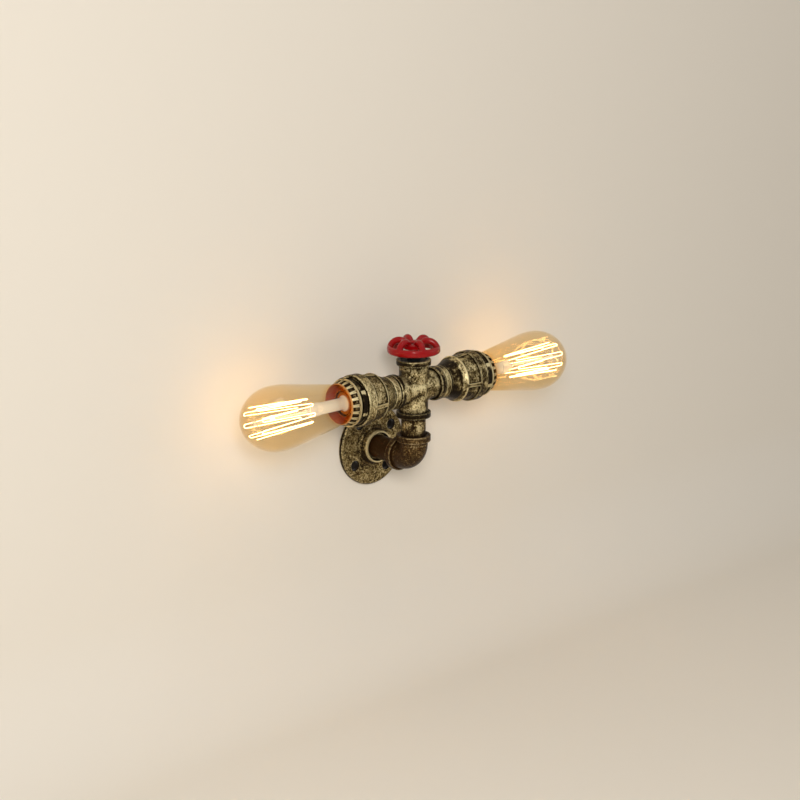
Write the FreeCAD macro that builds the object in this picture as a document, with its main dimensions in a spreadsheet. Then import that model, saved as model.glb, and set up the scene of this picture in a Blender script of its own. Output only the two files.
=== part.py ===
import FreeCAD, Part
import math
import os

import Sketcher

# Driving dimensions of the wall sconce, in millimetres and degrees.
# The frame: X runs along the two lamps, the wall is the plane y = 0 with the
# sconce at y < 0, Z is up, and the origin is the centre of the flange's back face.
DIMENSIONS = [
    # Pipework
    ("tube_od", "25.0", "outside diameter of every pipe nipple"),
    ("tube_wall", "2.0", "wall of every pipe nipple"),
    ("thread_gap", "0.1", "radial clearance of a screwed joint"),
    ("bead_od", "35.2", "outside diameter of a fitting's end bead"),
    ("edge_round", "0.9", "rounding of a bead's edges"),
    ("stack_offset", "67.5", "wall to the vertical pipe axis"),
    ("riser_height", "73.7", "flange axis to the lamp axis"),
    ("elbow_reach", "25.0", "elbow centre to its end faces"),
    ("elbow_bend", "16.0", "radius of the elbow's centre line"),
    ("elbow_od", "29.4", "outside diameter of the elbow's body"),
    ("elbow_bead", "6.8", "width of an elbow bead"),
    ("elbow_socket", "11.0", "thread depth in the elbow"),
    ("cross_reach", "30.0", "cross centre to its end faces"),
    ("cross_od", "29.6", "outside diameter of the cross's branches"),
    ("cross_core", "32.0", "diameter of the cross's rounded middle"),
    ("cross_fillet", "4.0", "fillet in the corner between two branches"),
    ("cross_bead", "6.0", "width of a cross bead"),
    ("cross_socket", "11.5", "thread depth in the cross"),
    ("mouth_bevel", "2.0", "bevel at the mouth of a fitting's thread"),
    # Wall flange
    ("flange_od", "85.0", "outside diameter of the wall flange"),
    ("flange_plate", "5.0", "thickness of the flange's plate"),
    ("flange_bevel", "1.3", "bevel round the plate's front edge"),
    ("hub_base_od", "38.0", "hub diameter at the plate"),
    ("hub_mouth_od", "33.2", "hub diameter at its mouth"),
    ("hub_depth", "15.0", "flange back face to the hub's mouth"),
    ("hub_fillet", "3.5", "fillet between plate and hub"),
    ("recess_bore", "30.6", "diameter of the recess in the hub's mouth"),
    ("mouth_depth", "3.2", "depth of that recess"),
    ("hole_dia", "9.6", "diameter of a wall screw hole"),
    ("hole_circle", "61.6", "pitch circle of the wall screw holes"),
    ("hole_count", "4", "number of wall screw holes"),
    ("hole_turn", "36.0", "angle of the first hole above the lamp axis"),
    ("hole_bevel", "0.8", "bevel of a hole's front edge"),
    ("nipple_inset", "1.0", "flange back face to the wall nipple's end"),
    # Plug, spindle and handwheel
    ("plug_sink", "0.6", "plug face below the cross's top lip"),
    ("plug_length", "10.6", "length of the plug's thread"),
    ("plug_boss_od", "14.0", "diameter of the plug's boss"),
    ("plug_boss", "4.6", "height of the plug's boss above its face"),
    ("spindle_dia", "6.0", "diameter of the spindle"),
    ("spindle_collar_od", "10.0", "diameter of the spindle's collar"),
    ("spindle_root", "9.0", "spindle length held in the plug below its face"),
    ("run_gap", "0.06", "radial running clearance of the wheel"),
    ("face_gap", "0.3", "gap between faces that turn past each other"),
    ("wheel_od", "54.0", "outside diameter of the handwheel"),
    ("wheel_lift", "36.4", "cross centre to the underside of the rim"),
    ("rim_width", "5.6", "radial width of the rim"),
    ("rim_height", "7.6", "height of the rim"),
    ("rim_round", "2.4", "rounding of the rim's edges"),
    ("arm_count", "6", "number of wheel arms"),
    ("arm_dia", "6.6", "thickness of a wheel arm"),
    ("arm_turn", "10.0", "angle of the first wheel arm from the lamp axis"),
    ("arch_outer", "9.3", "radius of an arm's outer bend"),
    ("arch_inner", "7.4", "radius of an arm's inner bend"),
    ("arch_foot", "3.4", "height of an arm's foot above the rim's underside"),
    ("wheel_hub_od", "22.4", "diameter of the wheel's hub"),
    ("wheel_hub_base", "4.4", "rim underside to the hub's underside"),
    ("wheel_hub", "5.5", "thickness of the hub"),
    ("screw_head_od", "8.4", "diameter of the wheel screw's head"),
    ("screw_head", "2.6", "height of the wheel screw's head"),
    ("screw_dia", "3.0", "diameter of the wheel screw"),
    ("screw_length", "8.0", "length of the wheel screw's shank"),
    # Lamp arms, measured outwards from the cross's end face
    ("arm_nipple_length", "31.0", "length of the nipple inside a lamp arm"),
    ("ring_gap", "1.2", "cross face to the lock ring"),
    ("ring_length", "6.8", "length of the lock ring"),
    ("ring_od", "34.2", "outside diameter of the lock ring"),
    ("holder_gap", "0.9", "lock ring to the lampholder"),
    ("holder_small_od", "34.0", "small end of the lampholder"),
    ("cone_length", "10.1", "length of the lampholder's plain cone"),
    ("cone_od", "41.2", "large end of that cone"),
    ("shoulder_length", "5.4", "length of the raised shoulder"),
    ("shoulder_od", "47.6", "diameter at the end of the shoulder"),
    ("shoulder_round", "6.5", "radius of the shoulder's swell"),
    ("panel_length", "17.3", "length of the panelled stretch"),
    ("panel_od", "51.6", "diameter at the end of the panelled stretch"),
    ("panel_depth", "1.2", "depth of a panel"),
    ("panel_margin", "0.9", "plain edge at each end of a panel"),
    ("panel_count", "4", "number of panels"),
    ("mullion_angle", "9.0", "angle that a rib between two panels fills"),
    ("mullion_drop", "8.0", "angle of the front rib below the lamp axis"),
    ("band_length", "9.3", "length of the plain band"),
    ("band_od", "52.4", "diameter of the plain band"),
    ("holder_socket", "12.0", "thread depth at the small end"),
    ("cavity_bore", "23.0", "diameter of the wiring space"),
    ("seat_depth", "20.5", "band end to the seat of the insulator"),
    ("seat_bore", "40.0", "diameter of the space round the insulator"),
    ("cover_thread_od", "44.8", "thread between casting and cover ring"),
    ("cover_thread", "7.0", "length of that thread"),
    # Cover ring with three raised pads
    ("groove_length", "8.0", "length of the cover ring's groove"),
    ("groove_od", "45.6", "diameter of the groove's floor"),
    ("pad_count", "3", "number of raised pads"),
    ("pad_angle", "60.0", "angle that a pad fills"),
    ("pad_od", "50.0", "diameter over the pads"),
    ("pad_length", "5.2", "length of a pad"),
    ("pad_root", "0.5", "depth of a pad's root in the groove's floor"),
    ("pad_rise", "7.5", "angle of the front pad above the lamp axis"),
    ("cover_bore", "39.8", "bore of the cover ring's tail"),
    # Castellated bezel at the mouth
    ("bezel_collar_od", "48.0", "diameter of the bezel's collar"),
    ("bezel_collar", "1.6", "length of the collar"),
    ("bezel_cone_od", "46.6", "back of the castellated cone"),
    ("bezel_cone", "5.9", "length of the castellated cone"),
    ("lip_od", "42.6", "front of the castellated cone"),
    ("lip_length", "2.8", "length of the lip in front of it"),
    ("mouth_bore", "39.2", "bore of the bezel"),
    ("lip_edge", "0.4", "width of the lip's front face"),
    ("slot_count", "20", "number of slots in the bezel"),
    ("slot_width", "4.1", "width of a slot"),
    ("slot_depth", "1.5", "depth of a slot"),
    ("slot_margin", "0.5", "plain edge at each end of a slot"),
    ("slot_drop", "4.0", "angle of the front slot below the lamp axis"),
    ("bezel_tail_od", "42.2", "diameter of the bezel's tail"),
    ("bezel_tail", "5.0", "length of the bezel's tail"),
    # Inside of a lampholder
    ("insulator_inset", "11.3", "mouth to the insulator's front face"),
    ("insulator_od", "39.0", "diameter of the insulator"),
    ("insulator_nose_od", "38.6", "diameter of the insulator inside the bezel"),
    ("insulator_nose", "6.0", "length of that nose"),
    ("insulator_floor", "3.5", "thickness of the insulator's floor"),
    ("shell_bore", "26.7", "inside diameter of the threaded shell"),
    ("shell_wall", "0.45", "wall of the threaded shell"),
    ("shell_sink", "0.8", "insulator face to the shell's lip"),
    ("shell_lift", "1.4", "insulator floor to the shell's back edge"),
    ("contact_width", "6.0", "width of the centre contact"),
    ("contact_length", "13.0", "length of the centre contact"),
    ("contact_sheet", "0.5", "thickness of the centre contact"),
    ("contact_heel", "2.2", "middle of the contact to the bend off the floor"),
    ("contact_fold", "1.0", "sheet measured through the contact's fold"),
    ("fix_screw_dia", "2.2", "diameter of an insulator screw"),
    ("fix_head_dia", "3.8", "head diameter of an insulator screw"),
    ("fix_head", "1.8", "head height of an insulator screw"),
    ("fix_circle", "33.2", "pitch circle of the insulator screws"),
    ("fix_bite", "6.0", "insulator screw length in the casting"),
    ("terminal_width", "5.0", "width of a terminal block"),
    ("terminal_length", "6.5", "length of a terminal block"),
    ("terminal_head_dia", "3.2", "diameter of a terminal screw"),
    ("terminal_head", "1.6", "terminal screw above its block"),
    ("terminal_bite", "1.2", "terminal screw inside its block"),
    # Leads
    ("lead_od", "2.0", "outside diameter of a lead"),
    ("lead_offset", "3.2", "each lead's distance from the pipe's middle planes"),
    ("lead_bend", "16.0", "radius of a lead's bends"),
    # Lamps
    ("neck_inset", "5.8", "mouth to the joint of cap and glass"),
    ("cap_length", "26.0", "length of the cap with its contact"),
    ("cap_od", "26.1", "diameter over the cap's thread"),
    ("cap_skirt_od", "26.6", "diameter of the cap's plain skirt"),
    ("cap_skirt", "3.0", "length of that skirt"),
    ("cap_wall", "0.5", "wall of the cap"),
    ("cap_foot_od", "19.2", "small end of the cap's metal"),
    ("cap_foot", "3.6", "contact tip to the cap's metal"),
    ("cap_taper", "2.6", "length of the cap's tapered end"),
    ("tip_od", "9.6", "diameter of the end contact"),
    ("tip_length", "1.7", "height of the end contact"),
    ("bulb_od", "64.0", "largest diameter of the glass"),
    ("glass_length", "120.0", "cap joint to the tip of the glass"),
    ("dome_length", "37.0", "tip of the glass to its largest diameter"),
    ("neck_od", "26.2", "diameter of the glass at the cap"),
    ("shoulder_glass_od", "44.0", "diameter of the glass where its neck ends"),
    ("neck_length", "16.5", "cap joint to the end of the neck"),
    ("neck_round", "27.0", "radius of the neck's swell"),
    ("belly_start_od", "61.1", "diameter where the long taper ends"),
    ("belly_length", "17.0", "end of the taper to the largest diameter"),
    ("belly_round", "99.0", "radius between taper and largest diameter"),
    ("tip_round", "28.0", "radius of the tip of the glass"),
    ("glass_wall", "0.8", "wall of the glass"),
    ("glass_foot", "5.0", "length of the glass neck inside the cap"),
    ("stem_sink", "3.0", "cap joint to the stem's foot"),
    ("stem_foot", "1.0", "thickness of the stem's foot"),
    ("stem_od", "13.0", "diameter of the glass stem"),
    ("press_od", "14.0", "width of the stem's press"),
    ("press_thickness", "5.0", "thickness of the press"),
    ("press_length", "9.0", "length of the press"),
    ("stem_length", "42.5", "cap joint to the end of the press"),
    ("rod_dia", "2.4", "diameter of the glass rod"),
    ("wire_dia", "0.7", "diameter of the support wires"),
    ("feed_spread", "7.0", "distance between the two feed wires at the press"),
    ("feed_rise", "3.0", "straight rise of a feed wire above the press"),
    ("cage_start", "46.5", "cap joint to the lower hooks"),
    ("cage_end", "108.5", "cap joint to the upper hooks"),
    ("cage_start_od", "25.0", "diameter of the ring of lower hooks"),
    ("cage_end_od", "31.0", "diameter of the ring of upper hooks"),
    ("strand_count", "16", "strands of the filament"),
    ("strand_pinch", "0.4", "lean of a strand to its hook, as a share of half the spacing"),
    ("filament_dia", "0.8", "thickness of the filament"),
]

doc = FreeCAD.newDocument("WallSconce")
sheet = doc.addObject("Spreadsheet::Sheet", "Sizes")
for row, (alias, number, note) in enumerate(DIMENSIONS, start=1):
    sheet.set("A%d" % row, note)
    sheet.set("B%d" % row, number)
    sheet.setAlias("B%d" % row, alias)
doc.recompute()


class Size:
    """A length that knows both its value and the sheet formula behind it."""

    def __init__(self, value, formula):
        self.value = value
        self.formula = formula

    @staticmethod
    def of(item):
        return item if isinstance(item, Size) else Size(float(item), repr(float(item)))

    def join(self, sign, other, value):
        return Size(value, "(%s %s %s)" % (self.formula, sign, other.formula))

    def __add__(self, other):
        other = Size.of(other)
        return self.join("+", other, self.value + other.value)

    def __sub__(self, other):
        other = Size.of(other)
        return self.join("-", other, self.value - other.value)

    def __mul__(self, other):
        other = Size.of(other)
        return self.join("*", other, self.value * other.value)

    def __truediv__(self, other):
        other = Size.of(other)
        return self.join("/", other, self.value / other.value)

    def __rtruediv__(self, other):
        return Size.of(other) / self

    def __radd__(self, other):
        return Size.of(other) + self

    def __rsub__(self, other):
        return Size.of(other) - self

    def __rmul__(self, other):
        return Size.of(other) * self

    def __neg__(self):
        return Size(-self.value, "(0 - %s)" % self.formula)


class Sizes:
    """The sheet's named sizes as attributes."""

    def __getattr__(self, alias):
        return Size(float(sheet.get(alias)), "Sizes.%s" % alias)


S = Sizes()
ZERO = Size.of(0)

# How near two lengths are the same, and two volumes as a share
SAME = 0.01

# Places along the axes that several pieces share
tube_r = S.tube_od / 2
bore_r = tube_r - S.tube_wall
socket_r = tube_r + S.thread_gap
ring_start = S.cross_reach + S.ring_gap
holder_start = ring_start + S.ring_length + S.holder_gap
shoulder_at = S.cone_length
panel_at = shoulder_at + S.shoulder_length
band_at = panel_at + S.panel_length
holder_length = band_at + S.band_length
cover_start = holder_start + holder_length
bezel_start = cover_start + S.groove_length
mouth_at = bezel_start + S.bezel_collar + S.bezel_cone + S.lip_length
insulator_front = mouth_at - S.insulator_inset
insulator_back = cover_start - S.seat_depth
lamp_joint = mouth_at - S.neck_inset
lamp_base = lamp_joint - S.cap_length
hub_underside = S.wheel_lift + S.wheel_hub_base

nodes = []


def keep(item, label):
    """Names a finished sub-part after its node."""
    item.Label = label
    nodes.append(item)
    return item


def new_body(name):
    return doc.addObject("PartDesign::Body", name)


def origin_feature(body, role):
    return next(f for f in body.Origin.OriginFeatures if f.Role == role)


def new_sketch(body, name, role="XZ_Plane", height=ZERO):
    """A sketch on one of the body's own planes, moved along the plane's normal."""
    sketch = body.newObject("Sketcher::SketchObject", name)
    sketch.AttachmentSupport = [(origin_feature(body, role), "")]
    sketch.MapMode = "FlatFace"
    sketch.AttachmentOffset = FreeCAD.Placement(FreeCAD.Vector(0, 0, height.value), FreeCAD.Rotation())
    sketch.setExpression("AttachmentOffset.Base.z", height.formula)
    return sketch


def pin_point(sketch, edge, end, x, y):
    """Ties one point of a sketch edge, its start 1, end 2 or centre 3, to two sheet formulas."""
    for kind, axis, size in (("DistanceX", -2, x), ("DistanceY", -1, y)):
        if size.formula == ZERO.formula:
            sketch.addConstraint(Sketcher.Constraint("PointOnObject", edge, end, axis))
            continue
        index = sketch.addConstraint(Sketcher.Constraint(kind, -1, 1, edge, end, size.value))
        sketch.setExpression("Constraints[%d]" % index, size.formula)


def arc_between(start, end, radius, turn):
    """The shorter arc from start to end; turn is 1 anticlockwise and -1 clockwise."""
    chord = end - start
    middle = (start + end) * 0.5
    rise = math.sqrt(max(radius * radius - chord.Length * chord.Length / 4, 0.0))
    left = FreeCAD.Vector(-chord.y, chord.x, 0).normalize()
    centre = middle + left * (rise * turn)
    first, last = (start, end) if turn > 0 else (end, start)
    angles = [math.atan2(p.y - centre.y, p.x - centre.x) for p in (first, last)]
    circle = Part.Circle(centre, FreeCAD.Vector(0, 0, 1), radius)
    return Part.ArcOfCircle(circle, angles[0], angles[1])


def outline(sketch, corners, closed=True):
    """Draws edges from corner to corner, each corner pinned to the sheet.

    A corner is (x, y), reached by a line, or (x, y, radius, turn), reached by an arc.
    """
    corners = [tuple(Size.of(v) for v in c[:3]) + tuple(c[3:]) for c in corners]
    points = [FreeCAD.Vector(c[0].value, c[1].value, 0) for c in corners]
    count = len(corners)
    edges = []
    for i in range(count if closed else count - 1):
        target = (i + 1) % count
        corner = corners[target]
        if len(corner) == 4:
            arc = arc_between(points[i], points[target], corner[2].value, corner[3])
            edge = sketch.addGeometry(arc, False)
            index = sketch.addConstraint(Sketcher.Constraint("Radius", edge, corner[2].value))
            sketch.setExpression("Constraints[%d]" % index, corner[2].formula)
            ends = (1, 2) if corner[3] > 0 else (2, 1)
        else:
            edge = sketch.addGeometry(Part.LineSegment(points[i], points[target]), False)
            ends = (1, 2)
        edges.append((edge, ends))
        pin_point(sketch, edge, ends[0], corners[i][0], corners[i][1])
    if not closed:
        last, ends = edges[-1]
        pin_point(sketch, last, ends[1], corners[-1][0], corners[-1][1])
    pairs = zip(edges, edges[1:] + edges[:1]) if closed else zip(edges, edges[1:])
    for (edge, ends), (following, next_ends) in pairs:
        sketch.addConstraint(Sketcher.Constraint("Coincident", edge, ends[1], following, next_ends[0]))
    return sketch


def circle(sketch, x, y, radius):
    """Draws a circle with its centre and radius tied to the sheet."""
    x, y, radius = Size.of(x), Size.of(y), Size.of(radius)
    centre = FreeCAD.Vector(x.value, y.value, 0)
    edge = sketch.addGeometry(Part.Circle(centre, FreeCAD.Vector(0, 0, 1), radius.value), False)
    pin_point(sketch, edge, 3, x, y)
    index = sketch.addConstraint(Sketcher.Constraint("Radius", edge, radius.value))
    sketch.setExpression("Constraints[%d]" % index, radius.formula)
    return sketch


def feature(body, kind, name, profile, **settings):
    """A PartDesign feature on one sketch; Size settings follow the sheet."""
    made = body.newObject("PartDesign::%s" % kind, name)
    made.Profile = profile
    for key, setting in settings.items():
        if isinstance(setting, Size):
            setattr(made, key, setting.value)
            made.setExpression(key, setting.formula)
        else:
            setattr(made, key, setting)
    return made


def turned(body, name, corners, axis="V_Axis", role="XZ_Plane", kind="Revolution", **settings):
    """Turns an outline about the sketch's vertical or horizontal axis."""
    sketch = outline(new_sketch(body, name + "Section", role), corners)
    return feature(body, kind, name, sketch, ReferenceAxis=(sketch, [axis]), **settings)


def turned_body(name, corners):
    body = new_body(name)
    turned(body, name + "Turned", corners)
    return body


def polar(body, name, original, count, turn=None, role="Z_Axis"):
    """Repeats a feature round one of the body's axes and makes the pattern the tip."""
    pattern = body.newObject("PartDesign::PolarPattern", name)
    pattern.Originals = [original]
    pattern.Axis = (origin_feature(body, role), [""])
    pattern.Angle = 360
    pattern.Occurrences = int(round(count.value))
    pattern.setExpression("Occurrences", count.formula)
    body.Tip = pattern
    return pattern


def edges_where(made, test):
    """Names of a feature's edges that pass a test."""
    doc.recompute()
    return ["Edge%d" % i for i, edge in enumerate(made.Shape.Edges, start=1) if test(edge)]


def is_ring(edge, radius, height):
    """Whether an edge is a full circle of this radius at this height."""
    return (len(edge.Vertexes) == 1 and hasattr(edge.Curve, "Radius")
            and abs(edge.Curve.Radius - radius.value) < SAME
            and abs(edge.BoundBox.ZMin - height.value) < SAME)


def rounded(body, name, made, size, test, kind="Fillet"):
    """Fillets or chamfers the edges that pass a test."""
    names = edges_where(made, test)
    if not names:
        raise RuntimeError("no edge for " + name)
    work = body.newObject("PartDesign::%s" % kind, name)
    work.Base = (made, names)
    key = "Radius" if kind == "Fillet" else "Size"
    setattr(work, key, size.value)
    work.setExpression(key, size.formula)
    body.Tip = work
    return work


def must_cut(body, before, what):
    """Stops the build when a cut has left the solid as it was."""
    doc.recompute()
    if body.Tip.Shape.Volume > before - 1:
        raise RuntimeError("%s cuts nothing" % what)


def volume_now(body):
    doc.recompute()
    return body.Tip.Shape.Volume


def diagonal(length):
    """The X or Y of a point this far from the axis, halfway between the two."""
    return length * Size(math.sqrt(0.5), "sqrt(0.5)")


def place(item, x=ZERO, y=ZERO, z=ZERO, rotation=None):
    """Places an object by three sheet formulas and a fixed rotation."""
    sizes = [Size.of(v) for v in (x, y, z)]
    base = FreeCAD.Vector(*[v.value for v in sizes])
    item.Placement = FreeCAD.Placement(base, rotation or FreeCAD.Rotation())
    for axis, size in zip("xyz", sizes):
        item.setExpression("Placement.Base.%s" % axis, size.formula)
    return item


def turn(axis, angle):
    return FreeCAD.Rotation(FreeCAD.Vector(*axis), angle)


OUT_OF_WALL = turn((1, 0, 0), 90)
SIDES = (("left", -1), ("right", 1))


def on_arm(item, side, distance, spin=0.0):
    """Puts a turned piece on a lamp arm, its own Z pointing away from the cross."""
    rotation = turn((0, 1, 0), 90 * side).multiply(turn((0, 0, 1), spin))
    return place(item, side * Size.of(distance), -S.stack_offset, S.riser_height, rotation)


def front_spin(side, drop, own_angle=0.0):
    """The spin that brings a piece's own angle to the front, a little below the axis."""
    return -90.0 + side * drop - own_angle


def bead_edge(inner, outer, low, high):
    """Corners of a bead from its low inner edge to its high inner edge, rounded outside."""
    round_r = S.edge_round
    return [
        (inner, low),
        (outer - round_r, low),
        (outer, low + round_r, round_r, 1),
        (outer, high - round_r),
        (outer - round_r, high, round_r, 1),
    ]


def laid_over(corners):
    """The same outline with its two axes exchanged, for a turn about the other axis."""
    return [(c[1], c[0]) + ((c[2], -c[3]) if len(c) == 4 else ()) for c in corners]


# Pipe nipples

def pipe(name, length):
    corners = [(bore_r, ZERO), (tube_r, ZERO), (tube_r, length), (bore_r, length)]
    return turned_body(name, corners)


def make_nipples():
    wall_length = S.stack_offset - S.elbow_reach + S.elbow_socket - S.nipple_inset - S.face_gap
    wall = keep(pipe("WallNipple", wall_length), "wall_nipple")
    place(wall, ZERO, -S.nipple_inset, ZERO, OUT_OF_WALL)
    low = S.elbow_reach - S.elbow_socket + S.face_gap
    high = S.riser_height - S.cross_reach + S.cross_socket - S.face_gap
    riser = keep(pipe("RiserNipple", high - low), "riser_nipple")
    place(riser, ZERO, -S.stack_offset, low)
    start = S.cross_reach - S.cross_socket + S.face_gap
    for side_name, side in SIDES:
        nipple = pipe("ArmNipple" + side_name.title(), S.arm_nipple_length)
        on_arm(keep(nipple, "arm_nipple_" + side_name), side, start)


# Wall flange

def make_flange():
    body = new_body("WallFlange")
    outer = S.flange_od / 2
    base_r = S.hub_base_od / 2
    mouth_r = S.hub_mouth_od / 2
    disc = turned(body, "FlangeBlank", [
        (socket_r, ZERO),
        (outer, ZERO),
        (outer, S.flange_plate - S.flange_bevel),
        (outer - S.flange_bevel, S.flange_plate),
        (base_r, S.flange_plate),
        (mouth_r, S.hub_depth),
        (S.recess_bore / 2, S.hub_depth),
        (S.recess_bore / 2, S.hub_depth - S.mouth_depth),
        (socket_r, S.hub_depth - S.mouth_depth),
    ])
    at_hub = lambda e: is_ring(e, base_r, S.flange_plate)
    rounded(body, "HubFillet", disc, S.hub_fillet, at_hub)
    blank = volume_now(body)
    hole_sketch = new_sketch(body, "HoleSketch", "XY_Plane")
    along = math.radians(S.hole_turn.value)
    place_x = S.hole_circle / 2 * Size(math.cos(along), "cos(Sizes.hole_turn * 1 deg)")
    place_y = S.hole_circle / 2 * Size(math.sin(along), "sin(Sizes.hole_turn * 1 deg)")
    circle(hole_sketch, place_x, place_y, S.hole_dia / 2)
    hole = feature(body, "Pocket", "WallHole", hole_sketch, Type="ThroughAll", Reversed=True)
    must_cut(body, blank, "the wall hole")
    holes = polar(body, "WallHoles", hole, S.hole_count)
    hole_front = lambda e: is_ring(e, S.hole_dia / 2, S.flange_plate)
    rounded(body, "HoleBevels", holes, S.hole_bevel, hole_front, "Chamfer")
    place(keep(body, "wall_flange"), ZERO, ZERO, ZERO, OUT_OF_WALL)


# Elbow and cross

def make_elbow():
    body = new_body("Elbow")
    reach, bend = S.elbow_reach, S.elbow_bend
    body_r = S.elbow_od / 2
    bead_r = S.bead_od / 2
    spine = outline(new_sketch(body, "ElbowSpine", "YZ_Plane"), [
        (ZERO, reach),
        (ZERO, bend),
        (bend, ZERO, bend, 1),
        (reach, ZERO),
    ], closed=False)
    section = circle(new_sketch(body, "ElbowSection", "XY_Plane", reach), ZERO, ZERO, body_r)
    feature(body, "AdditivePipe", "ElbowBody", section, Spine=(spine, ["Edge1", "Edge2", "Edge3"]))
    inner = body_r - S.tube_wall
    start = reach - S.elbow_bead
    bead = bead_edge(inner, bead_r, start, reach) + [(inner, reach)]
    turned(body, "UpperBead", bead, "V_Axis", "YZ_Plane")
    turned(body, "WallBead", laid_over(bead), "H_Axis", "YZ_Plane")
    hollow = circle(new_sketch(body, "BoreSection", "XY_Plane", reach), ZERO, ZERO, bore_r)
    feature(body, "SubtractivePipe", "ElbowBore", hollow, Spine=(spine, ["Edge1", "Edge2", "Edge3"]))
    floor = reach - S.elbow_socket
    socket = [
        (ZERO, floor),
        (socket_r, floor),
        (socket_r, reach - S.mouth_bevel),
        (socket_r + S.mouth_bevel, reach),
        (ZERO, reach),
    ]
    turned(body, "UpperSocket", socket, "V_Axis", "YZ_Plane", "Groove")
    turned(body, "WallSocket", laid_over(socket), "H_Axis", "YZ_Plane", "Groove")
    place(keep(body, "elbow"), ZERO, -S.stack_offset, ZERO)


def is_crease(edge):
    """Whether an edge is where two branches of the cross meet: as far out along X as along Z."""
    middle = edge.valueAt((edge.FirstParameter + edge.LastParameter) / 2)
    return (abs(abs(middle.x) - abs(middle.z)) < SAME and abs(middle.x) > SAME
            and edge.BoundBox.YLength > SAME)


def make_cross():
    body = new_body("Cross")
    reach = S.cross_reach
    branch_r = S.cross_od / 2
    bead_r = S.bead_od / 2
    inner = reach - S.cross_bead
    low = bead_edge(ZERO, bead_r, -reach, -inner)
    high = bead_edge(branch_r, bead_r, inner, reach)
    spool = low + [(branch_r, -inner)] + high + [(ZERO, reach)]
    turned(body, "UprightBranch", spool)
    turned(body, "LevelBranch", laid_over(spool), "H_Axis")
    core_r = S.cross_core / 2
    core = turned(body, "Core", [(ZERO, -core_r), (core_r, ZERO, core_r, 1), (ZERO, core_r, core_r, 1)])
    rounded(body, "BranchFillets", core, S.cross_fillet, is_crease)
    depth = reach - S.cross_socket
    wide = socket_r + S.mouth_bevel
    bore = [
        (ZERO, -reach),
        (wide, -reach),
        (socket_r, -reach + S.mouth_bevel),
        (socket_r, -depth),
        (bore_r, -depth),
        (bore_r, depth),
        (socket_r, depth),
        (socket_r, reach - S.mouth_bevel),
        (wide, reach),
        (ZERO, reach),
    ]
    turned(body, "UprightBore", bore, kind="Groove")
    turned(body, "LevelBore", laid_over(bore), "H_Axis", kind="Groove")
    place(keep(body, "cross"), ZERO, -S.stack_offset, S.riser_height)


# Plug, spindle, handwheel and its screw

def on_stack(item, height, rotation=None):
    return place(item, ZERO, -S.stack_offset, S.riser_height + height, rotation)


def make_plug():
    face = S.plug_length
    boss_r = S.plug_boss_od / 2
    body = turned_body("TopPlug", [
        (S.spindle_dia / 2 + S.thread_gap, ZERO),
        (tube_r, ZERO),
        (tube_r, face),
        (boss_r, face),
        (boss_r, face + S.plug_boss - S.edge_round),
        (boss_r - S.edge_round, face + S.plug_boss, S.edge_round, 1),
        (S.spindle_dia / 2 + S.thread_gap, face + S.plug_boss),
    ])
    on_stack(keep(body, "top_plug"), S.cross_reach - S.plug_sink - face)


def make_spindle():
    plug_face = S.cross_reach - S.plug_sink
    boss_top = plug_face + S.plug_boss
    foot = plug_face - S.spindle_root
    collar_top = hub_underside - S.face_gap
    top = hub_underside + S.wheel_hub - S.face_gap
    shaft_r = S.spindle_dia / 2
    collar_r = S.spindle_collar_od / 2
    hole_r = S.screw_dia / 2 + S.thread_gap
    hole_floor = top + S.face_gap - S.screw_length
    body = turned_body("WheelSpindle", [
        (ZERO, ZERO),
        (shaft_r, ZERO),
        (shaft_r, boss_top - foot),
        (collar_r, boss_top - foot),
        (collar_r, collar_top - foot),
        (shaft_r, collar_top - foot),
        (shaft_r, top - foot),
        (hole_r, top - foot),
        (hole_r, hole_floor - foot),
        (ZERO, hole_floor - foot),
    ])
    on_stack(keep(body, "wheel_spindle"), foot)
    head_r = S.screw_head_od / 2
    dome_r = (head_r * head_r + S.screw_head * S.screw_head) / (2 * S.screw_head)
    screw = turned_body("WheelScrew", [
        (ZERO, -S.screw_length),
        (S.screw_dia / 2, -S.screw_length),
        (S.screw_dia / 2, ZERO),
        (head_r, ZERO),
        (ZERO, S.screw_head, dome_r, 1),
    ])
    on_stack(keep(screw, "wheel_screw"), hub_underside + S.wheel_hub + S.face_gap)


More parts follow.
